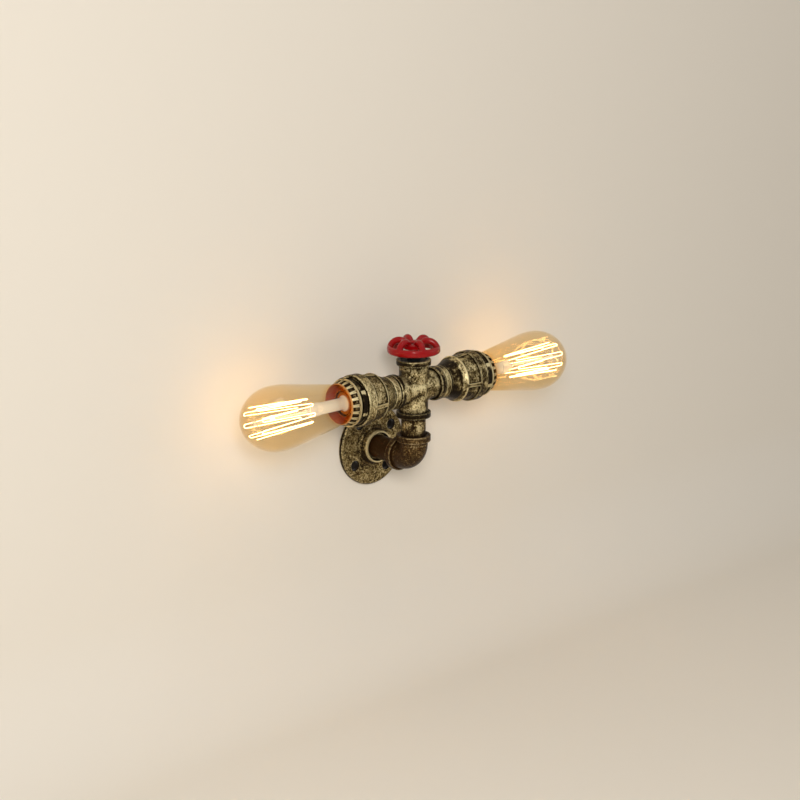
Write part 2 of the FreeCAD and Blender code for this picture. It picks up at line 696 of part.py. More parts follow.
def make_handwheel():
    body = new_body("Handwheel")
    outer = S.wheel_od / 2
    inner = outer - S.rim_width
    soft = S.rim_round
    turned(body, "Rim", [
        (inner + soft, ZERO, soft, 1),
        (outer - soft, ZERO),
        (outer, soft, soft, 1),
        (outer, S.rim_height - soft),
        (outer - soft, S.rim_height, soft, 1),
        (inner + soft, S.rim_height),
        (inner, S.rim_height - soft, soft, 1),
        (inner, soft),
    ])
    hub_r = S.wheel_hub_od / 2
    hub_top = S.wheel_hub_base + S.wheel_hub
    shaft_hole = S.spindle_dia / 2 + S.run_gap
    foot_r = outer - S.arm_dia / 2
    crown_r = foot_r - S.arch_outer
    crown_z = S.arch_foot + S.arch_outer
    heel_r = crown_r - S.arch_inner
    heel_z = crown_z - S.arch_inner
    turned(body, "Hub", [
        (ZERO, S.wheel_hub_base),
        (hub_r - S.edge_round, S.wheel_hub_base),
        (hub_r, S.wheel_hub_base + S.edge_round, S.edge_round, 1),
        (hub_r, hub_top - S.edge_round),
        (hub_r - S.edge_round, hub_top, S.edge_round, 1),
        (ZERO, hub_top),
    ])
    spine = outline(new_sketch(body, "ArmSpine"), [
        (foot_r, S.arch_foot),
        (crown_r, crown_z, S.arch_outer, 1),
        (heel_r, heel_z, S.arch_inner, 1),
    ], closed=False)
    section = circle(new_sketch(body, "ArmSection", "XY_Plane", S.arch_foot), foot_r, ZERO, S.arm_dia / 2)
    arm = feature(body, "AdditivePipe", "Arm", section, Spine=(spine, ["Edge1", "Edge2"]))
    polar(body, "Arms", arm, S.arm_count)
    turned(body, "SpindleHole", [
        (ZERO, ZERO),
        (shaft_hole, ZERO),
        (shaft_hole, hub_top + S.screw_head),
        (ZERO, hub_top + S.screw_head),
    ], kind="Groove")
    on_stack(keep(body, "handwheel"), S.wheel_lift, turn((0, 0, 1), S.arm_turn.value))


# Lamp arms

def make_lock_ring(side_name, side):
    corners = bead_edge(socket_r, S.ring_od / 2, ZERO, S.ring_length) + [(socket_r, S.ring_length)]
    body = turned_body("LockRing" + side_name.title(), corners)
    on_arm(keep(body, "lock_ring_" + side_name), side, ring_start)


def make_casting(side_name, side):
    """The lampholder's casting: cone, raised shoulder, four sunk panels and a plain band."""
    body = new_body("HolderCasting" + side_name.title())
    seat = holder_length - S.seat_depth
    panel_r = S.panel_od / 2
    band_r = S.band_od / 2
    shoulder_r = S.shoulder_od / 2
    lip = S.edge_round
    turned(body, "CastingBlank", [
        (socket_r, ZERO),
        (S.holder_small_od / 2 - lip, ZERO),
        (S.holder_small_od / 2, lip, lip, 1),
        (S.cone_od / 2, shoulder_at),
        (shoulder_r, panel_at, S.shoulder_round, -1),
        (panel_r, band_at),
        (band_r, band_at),
        (band_r, holder_length - lip),
        (band_r - lip, holder_length, lip, 1),
        (S.cover_thread_od / 2, holder_length),
        (S.cover_thread_od / 2, holder_length - S.cover_thread),
        (S.seat_bore / 2, holder_length - S.cover_thread),
        (S.seat_bore / 2, seat),
        (S.cavity_bore / 2, seat),
        (S.cavity_bore / 2, S.holder_socket),
        (socket_r, S.holder_socket),
    ])
    blank = volume_now(body)
    clear = band_r + S.panel_depth
    panel = turned(body, "Panel", [
        (shoulder_r - S.panel_depth, panel_at + S.panel_margin),
        (clear, panel_at + S.panel_margin),
        (clear, band_at - S.panel_margin),
        (panel_r - S.panel_depth, band_at - S.panel_margin),
    ], kind="Groove", Angle=360 / S.panel_count - S.mullion_angle, Midplane=True)
    must_cut(body, blank, "the panel")
    polar(body, "Panels", panel, S.panel_count)
    panelled = volume_now(body)
    drill = new_sketch(body, "FixingHoles", "XY_Plane", seat)
    reach = diagonal(S.fix_circle / 2)
    for sign in (1, -1):
        circle(drill, sign * reach, sign * reach, S.fix_screw_dia / 2 + S.thread_gap)
    feature(body, "Pocket", "FixingHole", drill, Type="Length", Length=S.fix_bite + S.face_gap)
    must_cut(body, panelled, "the fixing hole")
    spin = front_spin(side, S.mullion_drop.value, 45.0)
    on_arm(keep(body, "holder_casting_" + side_name), side, holder_start, spin)


def make_cover_ring(side_name, side):
    """The ring that closes the casting, with raised pads for a grip."""
    body = new_body("CoverRing" + side_name.title())
    thread_r = S.cover_thread_od / 2 - S.thread_gap
    tail_r = S.bezel_tail_od / 2 + S.thread_gap
    floor_r = S.groove_od / 2
    tail_floor = S.groove_length - S.bezel_tail - S.thread_gap
    turned(body, "CoverBlank", [
        (S.cover_bore / 2, -S.cover_thread + S.thread_gap),
        (thread_r, -S.cover_thread + S.thread_gap),
        (thread_r, ZERO),
        (floor_r, ZERO),
        (floor_r, S.groove_length),
        (tail_r, S.groove_length),
        (tail_r, tail_floor),
        (S.cover_bore / 2, tail_floor),
    ])
    pad_start = (S.groove_length - S.pad_length) / 2
    pad = turned(body, "Pad", [
        (floor_r - S.pad_root, pad_start),
        (S.pad_od / 2, pad_start),
        (S.pad_od / 2, pad_start + S.pad_length),
        (floor_r - S.pad_root, pad_start + S.pad_length),
    ], Angle=S.pad_angle, Midplane=True)
    polar(body, "Pads", pad, S.pad_count)
    spin = front_spin(side, -S.pad_rise.value)
    on_arm(keep(body, "cover_ring_" + side_name), side, cover_start, spin)


def make_bezel(side_name, side):
    """The castellated ring round the mouth: a cone cut by a ring of slots."""
    body = new_body("Bezel" + side_name.title())
    collar_r = S.bezel_collar_od / 2
    cone_r = S.bezel_cone_od / 2
    lip_r = S.lip_od / 2
    bore = S.mouth_bore / 2
    cone_end = S.bezel_collar + S.bezel_cone
    front = cone_end + S.lip_length
    turned(body, "BezelBlank", [
        (bore, -S.bezel_tail),
        (S.bezel_tail_od / 2, -S.bezel_tail),
        (S.bezel_tail_od / 2, ZERO),
        (collar_r, ZERO),
        (collar_r, S.bezel_collar),
        (cone_r, S.bezel_collar),
        (lip_r, cone_end),
        (bore + S.lip_edge, front),
        (bore, front),
    ])
    blank = volume_now(body)
    low = S.bezel_collar + S.slot_margin
    high = cone_end - S.slot_margin
    sketch = outline(new_sketch(body, "SlotSection"), [
        (cone_r - S.slot_depth, low),
        (collar_r, low),
        (collar_r, high),
        (lip_r - S.slot_depth, high),
    ])
    slot = feature(body, "Pocket", "Slot", sketch, Type="Length", Midplane=True, Length=S.slot_width)
    must_cut(body, blank, "the slot")
    polar(body, "Slots", slot, S.slot_count)
    spin = front_spin(side, S.slot_drop.value)
    on_arm(keep(body, "bezel_" + side_name), side, bezel_start, spin)


# Inside of a lampholder

def make_insulator(side_name, side):
    body = new_body("Insulator" + side_name.title())
    length = insulator_front - insulator_back
    well_r = S.shell_bore / 2 + S.shell_wall + S.thread_gap
    outer = S.insulator_od / 2
    nose = S.insulator_nose_od / 2
    turned(body, "InsulatorBlank", [
        (ZERO, ZERO),
        (outer, ZERO),
        (outer, length - S.insulator_nose),
        (nose, length - S.insulator_nose),
        (nose, length - S.edge_round),
        (nose - S.edge_round, length, S.edge_round, 1),
        (well_r, length),
        (well_r, S.insulator_floor),
        (ZERO, S.insulator_floor),
    ])
    blank = volume_now(body)
    reach = diagonal(S.fix_circle / 2)
    for name, radius, depth in (
            ("ScrewHoles", S.fix_screw_dia / 2 + S.thread_gap, length),
            ("ScrewSeats", S.fix_head_dia / 2 + S.thread_gap, S.fix_head + S.thread_gap)):
        sketch = new_sketch(body, name + "Sketch", "XY_Plane", length)
        for sign in (1, -1):
            circle(sketch, sign * reach, sign * reach, radius)
        feature(body, "Pocket", name, sketch, Type="Length", Length=depth)
    must_cut(body, blank, "the screw hole")
    spin = front_spin(side, S.mullion_drop.value, 45.0)
    on_arm(keep(body, "insulator_" + side_name), side, insulator_back, spin)


def make_shell(side_name, side):
    inner = S.shell_bore / 2
    length = insulator_front - insulator_back - S.insulator_floor - S.shell_sink - S.shell_lift
    corners = [
        (inner, ZERO), (inner + S.shell_wall, ZERO),
        (inner + S.shell_wall, length), (inner, length),
    ]
    body = turned_body("SocketShell" + side_name.title(), corners)
    start = insulator_back + S.insulator_floor + S.shell_lift
    on_arm(keep(body, "socket_shell_" + side_name), side, start)


def make_centre_contact(side_name, side):
    """A sprung tongue that lies on the insulator's floor and rises to the cap's contact."""
    body = new_body("CentreContact" + side_name.title())
    sheet_t = S.contact_sheet
    half = S.contact_length / 2
    floor = insulator_back + S.insulator_floor
    top = lamp_base - S.face_gap - floor
    sketch = outline(new_sketch(body, "TongueSection"), [
        (-half, ZERO),
        (S.contact_heel, ZERO),
        (half, top / 2),
        (ZERO, top),
        (ZERO, top - sheet_t),
        (half - S.contact_fold, top / 2),
        (S.contact_heel - sheet_t / 2, sheet_t),
        (-half, sheet_t),
    ])
    feature(body, "Pad", "Tongue", sketch, Length=S.contact_width, Midplane=True)
    on_arm(keep(body, "centre_contact_" + side_name), side, floor)


def make_fixing_screws(side_name, side):
    """Two screws through the insulator into the casting."""
    body = new_body("FixingScrews" + side_name.title())
    head_floor = insulator_front - insulator_back - S.fix_head
    reach = diagonal(S.fix_circle / 2)
    shank = new_sketch(body, "ShankSketch", "XY_Plane", -S.fix_bite)
    head = new_sketch(body, "HeadSketch", "XY_Plane", head_floor)
    for sign in (1, -1):
        circle(shank, sign * reach, sign * reach, S.fix_screw_dia / 2)
        circle(head, sign * reach, sign * reach, S.fix_head_dia / 2)
    feature(body, "Pad", "Shanks", shank, Length=head_floor + S.fix_bite)
    feature(body, "Pad", "Heads", head, Length=S.fix_head)
    spin = front_spin(side, S.mullion_drop.value, 45.0)
    on_arm(keep(body, "fixing_screws_" + side_name), side, insulator_back, spin)


def make_terminal(side_name, side, lead_name, across):
    """A brass block with its screw on the insulator's back, where one lead ends."""
    body = new_body("Terminal" + lead_name.title() + side_name.title())
    wide = S.terminal_width / 2
    middle = across * S.lead_offset
    block = outline(new_sketch(body, "BlockSection", "XY_Plane"), [
        (-wide, middle - wide),
        (wide, middle - wide),
        (wide, middle + wide),
        (-wide, middle + wide),
    ])
    feature(body, "Pad", "Block", block, Length=S.terminal_length)
    seat = -across * (S.lead_offset + wide - S.terminal_bite)
    screw = new_sketch(body, "ScrewSection", "XZ_Plane", seat)
    circle(screw, ZERO, S.terminal_length / 2, S.terminal_head_dia / 2)
    feature(body, "Pad", "Screw", screw, Length=S.terminal_bite + S.terminal_head, Reversed=across > 0)
    start = insulator_back - S.terminal_length
    on_arm(keep(body, "terminal_%s_%s" % (lead_name, side_name)), side, start)


def tube_along(points, bend, radius):
    """A solid rod along straight runs joined by tangent arcs."""
    edges = []
    here = points[0]
    for before, corner, after in zip(points, points[1:], points[2:]):
        back = (before - corner).normalize()
        ahead = (after - corner).normalize()
        half_turn = (math.pi - back.getAngle(ahead)) / 2
        reach = bend * math.tan(half_turn)
        start, end = corner + back * reach, corner + ahead * reach
        out = (back + ahead).normalize()
        crown = corner + out * (bend / math.cos(half_turn) - bend)
        edges += [Part.makeLine(here, start), Part.Arc(start, crown, end).toShape()]
        here = end
    edges.append(Part.makeLine(here, points[-1]))
    spine = Part.Wire(edges)
    section = Part.Wire(Part.makeCircle(radius, points[0], points[1] - points[0]))
    tube = spine.makePipeShell([section], True, True)
    drawn = math.pi * radius * radius * spine.Length
    if abs(tube.Volume - drawn) > SAME * drawn:
        raise RuntimeError("a lead's volume is not its section times its length")
    return tube


def make_lead(side_name, side, lead_name, across):
    """A lead from the back of the flange through the pipes to its terminal."""
    offset = S.lead_offset.value
    x = side * offset
    y = -S.stack_offset.value + across * offset
    height = S.riser_height.value
    end = (insulator_back - S.terminal_length).value
    points = [
        FreeCAD.Vector(x, 0, across * offset),
        FreeCAD.Vector(x, y, across * offset),
        FreeCAD.Vector(x, y, height),
        FreeCAD.Vector(side * end, y, height),
    ]
    bend = S.lead_bend.value - across * offset
    lead = doc.addObject("Part::Feature", "Lead" + lead_name.title() + side_name.title())
    lead.Shape = tube_along(points, bend, S.lead_od.value / 2)
    keep(lead, "lead_%s_%s" % (lead_name, side_name))
    print("%s: bends of %.1f mm, %.1f diameters" % (lead.Label, bend, bend / S.lead_od.value))


# Lamps, each with its own Z from the cap's contact towards the tip of the glass

def on_lamp(item, label, side_name, side):
    on_arm(keep(item, "%s_%s" % (label, side_name)), side, lamp_base)


def make_cap(side_name, side):
    wall = S.cap_wall
    foot_r, cap_r = S.cap_foot_od / 2, S.cap_od / 2
    skirt_at = S.cap_length - S.cap_skirt
    cap = turned_body("BulbCap" + side_name.title(), [
        (foot_r - wall, S.cap_foot),
        (foot_r, S.cap_foot),
        (cap_r, S.cap_foot + S.cap_taper),
        (cap_r, skirt_at),
        (S.cap_skirt_od / 2, skirt_at),
        (S.cap_skirt_od / 2, S.cap_length),
        (cap_r - wall, S.cap_length),
        (cap_r - wall, S.cap_foot + S.cap_taper),
    ])
    on_lamp(cap, "bulb_cap", side_name, side)
    plug_r = foot_r - wall - S.thread_gap
    tip_r = S.tip_od / 2
    top = S.cap_foot - S.thread_gap
    insulator = turned_body("CapInsulator" + side_name.title(), [
        (ZERO, S.tip_length),
        (tip_r, S.tip_length),
        (foot_r - wall, top),
        (plug_r, top),
        (plug_r, S.cap_foot + S.tip_length),
        (ZERO, S.cap_foot + S.tip_length),
    ])
    on_lamp(insulator, "cap_insulator", side_name, side)
    soft = S.tip_length / 2
    contact = turned_body("CapContact" + side_name.title(), [
        (ZERO, ZERO),
        (tip_r - soft, ZERO),
        (tip_r, soft, soft, 1),
        (tip_r, S.tip_length),
        (ZERO, S.tip_length),
    ])
    on_lamp(contact, "cap_contact", side_name, side)


def glass_outline(inset):
    """The pear-shaped glass from its foot to its tip, moved inwards by a wall."""
    joint = S.cap_length
    belly_r = S.bulb_od / 2
    belly_z = joint + S.glass_length - S.dome_length
    tip_r = S.tip_round
    rise = S.dome_length - tip_r
    shoulder_r = (belly_r * belly_r + rise * rise - tip_r * tip_r) / (2 * (belly_r - tip_r))
    meet_x = (tip_r - inset) * (shoulder_r - belly_r) / (shoulder_r - tip_r)
    meet_z = (tip_r - inset) * rise / (shoulder_r - tip_r)
    foot_r = S.cap_od / 2 - S.cap_wall - S.thread_gap
    return [
        (foot_r - inset, joint - S.glass_foot),
        (foot_r - inset, joint + inset),
        (S.neck_od / 2 - inset, joint + inset),
        (S.shoulder_glass_od / 2 - inset, joint + S.neck_length, S.neck_round, 1),
        (S.belly_start_od / 2 - inset, belly_z - S.belly_length),
        (belly_r - inset, belly_z, S.belly_round, 1),
        (meet_x, belly_z + rise + meet_z, shoulder_r - inset, 1),
        (ZERO, joint + S.glass_length - inset, tip_r - inset, 1),
    ]


def make_glass(side_name, side):
    body = new_body("BulbGlass" + side_name.title())
    foot = [(ZERO, S.cap_length - S.glass_foot)]
    turned(body, "GlassOutside", glass_outline(ZERO) + foot)
    turned(body, "GlassInside", glass_outline(S.glass_wall) + foot, kind="Groove")
    on_lamp(body, "bulb_glass", side_name, side)


def make_stem(side_name, side):
    """Glass stem with its flattened press, and the rod whose two beads carry the hooks."""
    body = new_body("BulbStem" + side_name.title())
    foot_z = S.cap_length - S.stem_sink
    flare_r = S.cap_od / 2 - S.cap_wall - S.thread_gap - S.glass_wall - S.thread_gap
    tube = S.stem_od / 2
    sweep = flare_r - tube
    end = S.cap_length + S.stem_length
    rod = S.rod_dia / 2
    bead_r = S.rod_dia
    neck = bead_r * Size(math.sqrt(0.75), "sqrt(0.75)")
    low_bead = S.cap_length + S.cage_start
    top_bead = S.cap_length + S.cage_end
    turned(body, "TubeAndRod", [
        (ZERO, foot_z),
        (flare_r, foot_z),
        (flare_r, foot_z + S.stem_foot),
        (tube, foot_z + S.stem_foot + sweep, sweep, -1),
        (tube, end - S.press_length),
        (S.press_thickness / 2, end),
        (rod, end),
        (rod, low_bead - neck),
        (rod, low_bead + neck, bead_r, 1),
        (rod, top_bead - neck),
        (ZERO, top_bead + bead_r, bead_r, 1),
    ])
    wide, thick = S.press_od / 2, S.press_thickness / 2
    curve = (wide * wide + thick * thick) / (2 * thick)
    press = outline(new_sketch(body, "PressSection", "XY_Plane", end - S.press_length), [
        (-wide, ZERO, curve, 1),
        (wide, ZERO, curve, 1),
    ])
    feature(body, "Pad", "Press", press, Length=S.press_length)
    on_lamp(body, "bulb_stem", side_name, side)


def around(radius, angle, height):
    return FreeCAD.Vector(radius * math.cos(angle), radius * math.sin(angle), height)


def strand_end(index, upper):
    """Where one strand of the filament meets its hook, drawn a little towards its partner.

    The filament starts and ends at the two lower places on either side of the lamp's Y axis.
    """
    step = 2 * math.pi / S.strand_count.value
    towards = 1 if (index % 2 == 0) == upper else -1
    angle = math.pi / 2 + step * (index + 0.5 + 0.5 * towards * S.strand_pinch.value)
    ring = (S.cage_end_od if upper else S.cage_start_od) / 2
    height = S.cap_length + (S.cage_end if upper else S.cage_start)
    return around(ring.value, angle, height.value)


def rod_between(start, end, radius):
    return Part.makeCylinder(radius, (end - start).Length, start, end - start)


def make_filament(side_name, side):
    count = int(round(S.strand_count.value))
    radius = S.filament_dia.value / 2
    points = []
    for index in range(count):
        ends = [strand_end(index, False), strand_end(index, True)]
        points += ends if index % 2 == 0 else ends[::-1]
    pieces = [rod_between(a, b, radius) for a, b in zip(points, points[1:])]
    pieces += [Part.makeSphere(radius, point) for point in points[1:-1]]
    filament = doc.addObject("Part::Feature", "Filament" + side_name.title())
    filament.Shape = pieces[0].multiFuse(pieces[1:])
    on_lamp(filament, "filament", side_name, side)


def feed_wire(across, goal, radius):
    """A wire that rises straight from the press and then leans to one end of the filament."""
    press = (S.cap_length + S.stem_length).value
    foot = FreeCAD.Vector(across * S.feed_spread.value / 2, 0, press)
    knee = foot + FreeCAD.Vector(0, 0, S.feed_rise.value)
    lean = (goal - knee).normalize()
    end = goal - lean * (S.filament_dia.value / 2)
    pieces = [Part.makeSphere(radius, knee), rod_between(knee, end, radius)]
    return rod_between(foot, knee, radius).multiFuse(pieces)


def make_wires(side_name, side):
    """Hooks from the rod's beads to the filament, and the two wires that feed it."""
    count = int(round(S.strand_count.value))
    thick = S.filament_dia.value / 2
    radius = S.wire_dia.value / 2
    pieces = []
    for index in range(count - 1):
        upper = index % 2 == 0
        middle = (strand_end(index, upper) + strand_end(index + 1, upper)) * 0.5
        spread = math.hypot(middle.x, middle.y)
        angle = math.atan2(middle.y, middle.x)
        start = around(S.rod_dia.value, angle, middle.z)
        pieces.append(rod_between(start, around(spread - thick, angle, middle.z), radius))
    pieces.append(feed_wire(-1, strand_end(0, False), radius))
    pieces.append(feed_wire(1, strand_end(count - 1, False), radius))
    wires = doc.addObject("Part::Feature", "SupportWires" + side_name.title())
    wires.Shape = Part.makeCompound(pieces)
    on_lamp(wires, "support_wires", side_name, side)


make_nipples()
make_flange()
make_elbow()
make_cross()
make_plug()
make_spindle()
make_handwheel()
for side_name, side in SIDES:
    make_lock_ring(side_name, side)
    make_casting(side_name, side)
    make_cover_ring(side_name, side)
    make_bezel(side_name, side)
    make_insulator(side_name, side)
    make_shell(side_name, side)
    make_centre_contact(side_name, side)
    make_fixing_screws(side_name, side)
    for lead_name, across in (("line", -1), ("neutral", 1)):
        make_terminal(side_name, side, lead_name, across)
        make_lead(side_name, side, lead_name, across)
    make_cap(side_name, side)
    make_glass(side_name, side)
    make_stem(side_name, side)
    make_filament(side_name, side)
    make_wires(side_name, side)
doc.recompute()

# Every object is checked before any file is written
for item in doc.Objects:
    if "Invalid" in item.State or "Error" in item.State:
        raise RuntimeError("%s is not valid: %s" % (item.Name, item.State))
for item in nodes:
    if item.Shape.isNull() or not item.Shape.isValid():
        raise RuntimeError("%s has no sound shape" % item.Label)

os.makedirs("parts", exist_ok=True)
for item in nodes:
    item.Shape.exportStep("parts/%s.step" % item.Label)
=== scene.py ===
import math

import bmesh
import bpy
from bpy.props import FloatProperty, FloatVectorProperty, IntProperty, PointerProperty
from bpy.types import Operator, Panel, PropertyGroup
from mathutils import Matrix, Vector


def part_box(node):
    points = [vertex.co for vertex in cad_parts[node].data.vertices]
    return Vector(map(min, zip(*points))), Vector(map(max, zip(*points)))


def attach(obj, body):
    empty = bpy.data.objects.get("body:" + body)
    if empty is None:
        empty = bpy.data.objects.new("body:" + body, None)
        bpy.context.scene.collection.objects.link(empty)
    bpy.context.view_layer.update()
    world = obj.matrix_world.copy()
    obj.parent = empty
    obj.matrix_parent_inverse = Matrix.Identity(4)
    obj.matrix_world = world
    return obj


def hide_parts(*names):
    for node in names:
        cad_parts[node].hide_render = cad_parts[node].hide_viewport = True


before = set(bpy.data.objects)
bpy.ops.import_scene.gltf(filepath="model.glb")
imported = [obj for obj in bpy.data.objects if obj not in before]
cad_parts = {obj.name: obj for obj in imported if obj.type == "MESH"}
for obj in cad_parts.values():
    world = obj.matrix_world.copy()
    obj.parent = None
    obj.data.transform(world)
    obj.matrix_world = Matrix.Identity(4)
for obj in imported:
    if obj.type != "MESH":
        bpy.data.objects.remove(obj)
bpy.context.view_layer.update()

bl_info = {
    "name": "Pipe Wall Sconce",
    "version": (1, 0, 0),
    "blender": (4, 5, 0),
    "location": "View3D > Sidebar > Sconce",
    "description": "Dresses the packed wall sconce: finishes, lamps, handwheel and a plain stage",
    "category": "Object",
}

# Places that the frame gives, in metres
MM = 0.001
SIDES = (("left", -1), ("right", 1))
STACK_Y = sum(corner[1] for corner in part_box("riser_nipple")) / 2
LAMP_Z = sum(corner[2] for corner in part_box("arm_nipple_left")) / 2
LAMP_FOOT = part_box("cap_contact_right")[0][0]
WHEEL_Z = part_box("handwheel")[0][2]
BEZEL_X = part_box("bezel_right")[1][0]
CROSS_CENTRE = (0, STACK_Y, LAMP_Z)
ELBOW_CENTRE = (0, STACK_Y, 0)

# Places on the solids that the finishes follow: distances in metres, turns in degrees above the front
CROSS_BEAD = 23.8 * MM
ELBOW_BEAD = 18.0 * MM
SCREW_EDGE = 5.4 * MM
CONE_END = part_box("holder_casting_right")[0][0] + 10 * MM
PANEL_START = CONE_END + 4.5 * MM
GROOVE = 23.4 * MM
PADS = 3
PAD_TURN = 7.5
BORE = 19.65 * MM
LIP_X = BEZEL_X - 1.7 * MM
SLOTS = 20
SLOT_TURN = -4
SLOT_END_X = BEZEL_X - 4 * MM
SLOT_FLOOR = 22.3 * MM
SLOT_FLOOR_X = BEZEL_X - 8.7 * MM
SLOT_SLOPE = 0.34

# Side whose faces get brighter gold: painted light from the front and above
PAINTED_LIGHT_SIDE = (0, -0.87, 0.5)

# Each light's name, width and place in metres
LIGHTS = (("key", 0.5, (-1.25, -1.6, 0.85)), ("fill", 1.0, (1.5, -1.5, 0.3)), ("top", 0.6, (0.1, -0.5, 1.5)))


def length(name, text, default):
    """A length given in millimetres."""
    return FloatProperty(name=name, description=text, default=default * MM, unit="LENGTH", precision=5)


def colour(name, text, default):
    return FloatVectorProperty(name=name, description=text, default=default, size=3, subtype="COLOR",
                               min=0, max=1)


def number(name, text, default):
    return FloatProperty(name=name, description=text, default=default, min=0)


def angle(name, text, degrees):
    return FloatProperty(name=name, description=text, default=math.radians(degrees), subtype="ANGLE")


class SconceFinishes(PropertyGroup):
    """Colours and patterns of the finishes"""

    patina: colour("Patina", "Black undercoat in the metal's recesses", (0.010, 0.0062, 0.0028))
    umber: colour("Umber", "Brown undercoat of the elbow and the wall pipe", (0.026, 0.0105, 0.0030))
    old_gilt: colour("Old gilt", "Thin gold where the undercoat shows through", (0.105, 0.070, 0.026))
    gilt: colour("Gilt", "Dry-brushed gold on the raised metal", (0.36, 0.272, 0.115))
    pale_gilt: colour("Pale gilt", "Rubbed gold on edges and bands", (0.76, 0.65, 0.37))
    copper: colour("Copper", "Warm speckle on the elbow", (0.19, 0.098, 0.036))
    wheel_red: colour("Wheel red", "Gloss paint of the handwheel", (0.31, 0.002, 0.0035))
    plug_black: colour("Plug black", "Black of the plug under the wheel", (0.006, 0.006, 0.0065))
    # Colour of the insulators' moulding, made orange as painted light of the lamp; also the painted glow on
    # the bezels' mouths and the stems' feet
    moulding_and_glow: colour("Moulding", "Warm moulding of the insulators and the mouths", (0.44, 0.15, 0.014))
    brass: colour("Brass", "Stamped socket parts", (0.74, 0.53, 0.24))
    cap_metal: colour("Cap metal", "Drawn metal of the lamp caps", (0.72, 0.68, 0.58))
    steel: colour("Steel", "Screws and support wires", (0.56, 0.55, 0.53))
    glass: colour("Glass", "Light that one face of the glass lets through", (0.972, 0.918, 0.805))
    neck: colour("Neck", "Light that one face of the neck lets through", (0.95, 0.70, 0.36))
    stem: colour("Stem", "Frosted glass inside a lamp", (0.94, 0.93, 0.96))
    # Painted light: the stem's tube glows with this, though it is no lamp
    stem_glow: colour("Haze", "Light that the stem scatters", (0.098, 0.112, 0.14))
    glow: colour("Glow", "Light of the filament", (1.0, 0.60, 0.24))
    lead_line: colour("Line lead", "Insulation of the line leads", (0.13, 0.045, 0.018))
    lead_neutral: colour("Neutral lead", "Insulation of the neutral leads", (0.02, 0.07, 0.27))
    stage: colour("Stage", "Floor and wall", (0.84, 0.79, 0.71))
    patch: length("Patches", "Size of the bare and gilded patches", 10.0)
    stroke: length("Strokes", "Size of the brush's dabs", 2.0)
    grain: length("Grain", "Size of the cast skin's grain", 0.9)
    pit: length("Pits", "Size of the small dark pits", 1.5)
    recess: length("Recesses", "Gap under which a face counts as sunk", 6.0)
    edge: length("Edges", "Width of the rubbed edges", 2.4)
    contrast: number("Contrast", "How sharply gold and undercoat part", 8.0)
    glow_strength: number("Glow strength", "Brightness of the filaments", 11.0)


class SconceWheel(PropertyGroup):
    """Sizes of the handwheel's casting"""

    diameter: length("Diameter", "Outside of the rim", 54.0)
    rim_width: length("Rim width", "Radial width of the rim", 5.6)
    rim_height: length("Rim height", "Height of the rim", 7.6)
    rim_round: length("Rim rounding", "Rounding of the rim's edges", 2.4)
    hub_diameter: length("Hub", "Diameter of the hub", 22.4)
    hub_base: length("Hub base", "Rim underside to the hub's underside", 4.4)
    hub_height: length("Hub height", "Thickness of the hub", 5.5)
    hub_round: length("Hub rounding", "Rounding of the hub's edges", 1.0)
    shaft: length("Shaft hole", "Diameter of the hole for the spindle", 6.12)
    arm: length("Arm", "Thickness of an arm", 6.7)
    foot: length("Foot", "Rim underside to an arm's foot", 3.4)
    outer_bend: length("Outer bend", "Radius of an arm's outer bend", 9.3)
    inner_bend: length("Inner bend", "Radius of an arm's inner bend", 7.4)
    voxel: length("Casting grain", "Cell size of the joined casting", 0.42)
    arms: IntProperty(name="Arms", description="Number of arms", default=6, min=3)
    turn: angle("Turn", "Angle of the first arm", 10)


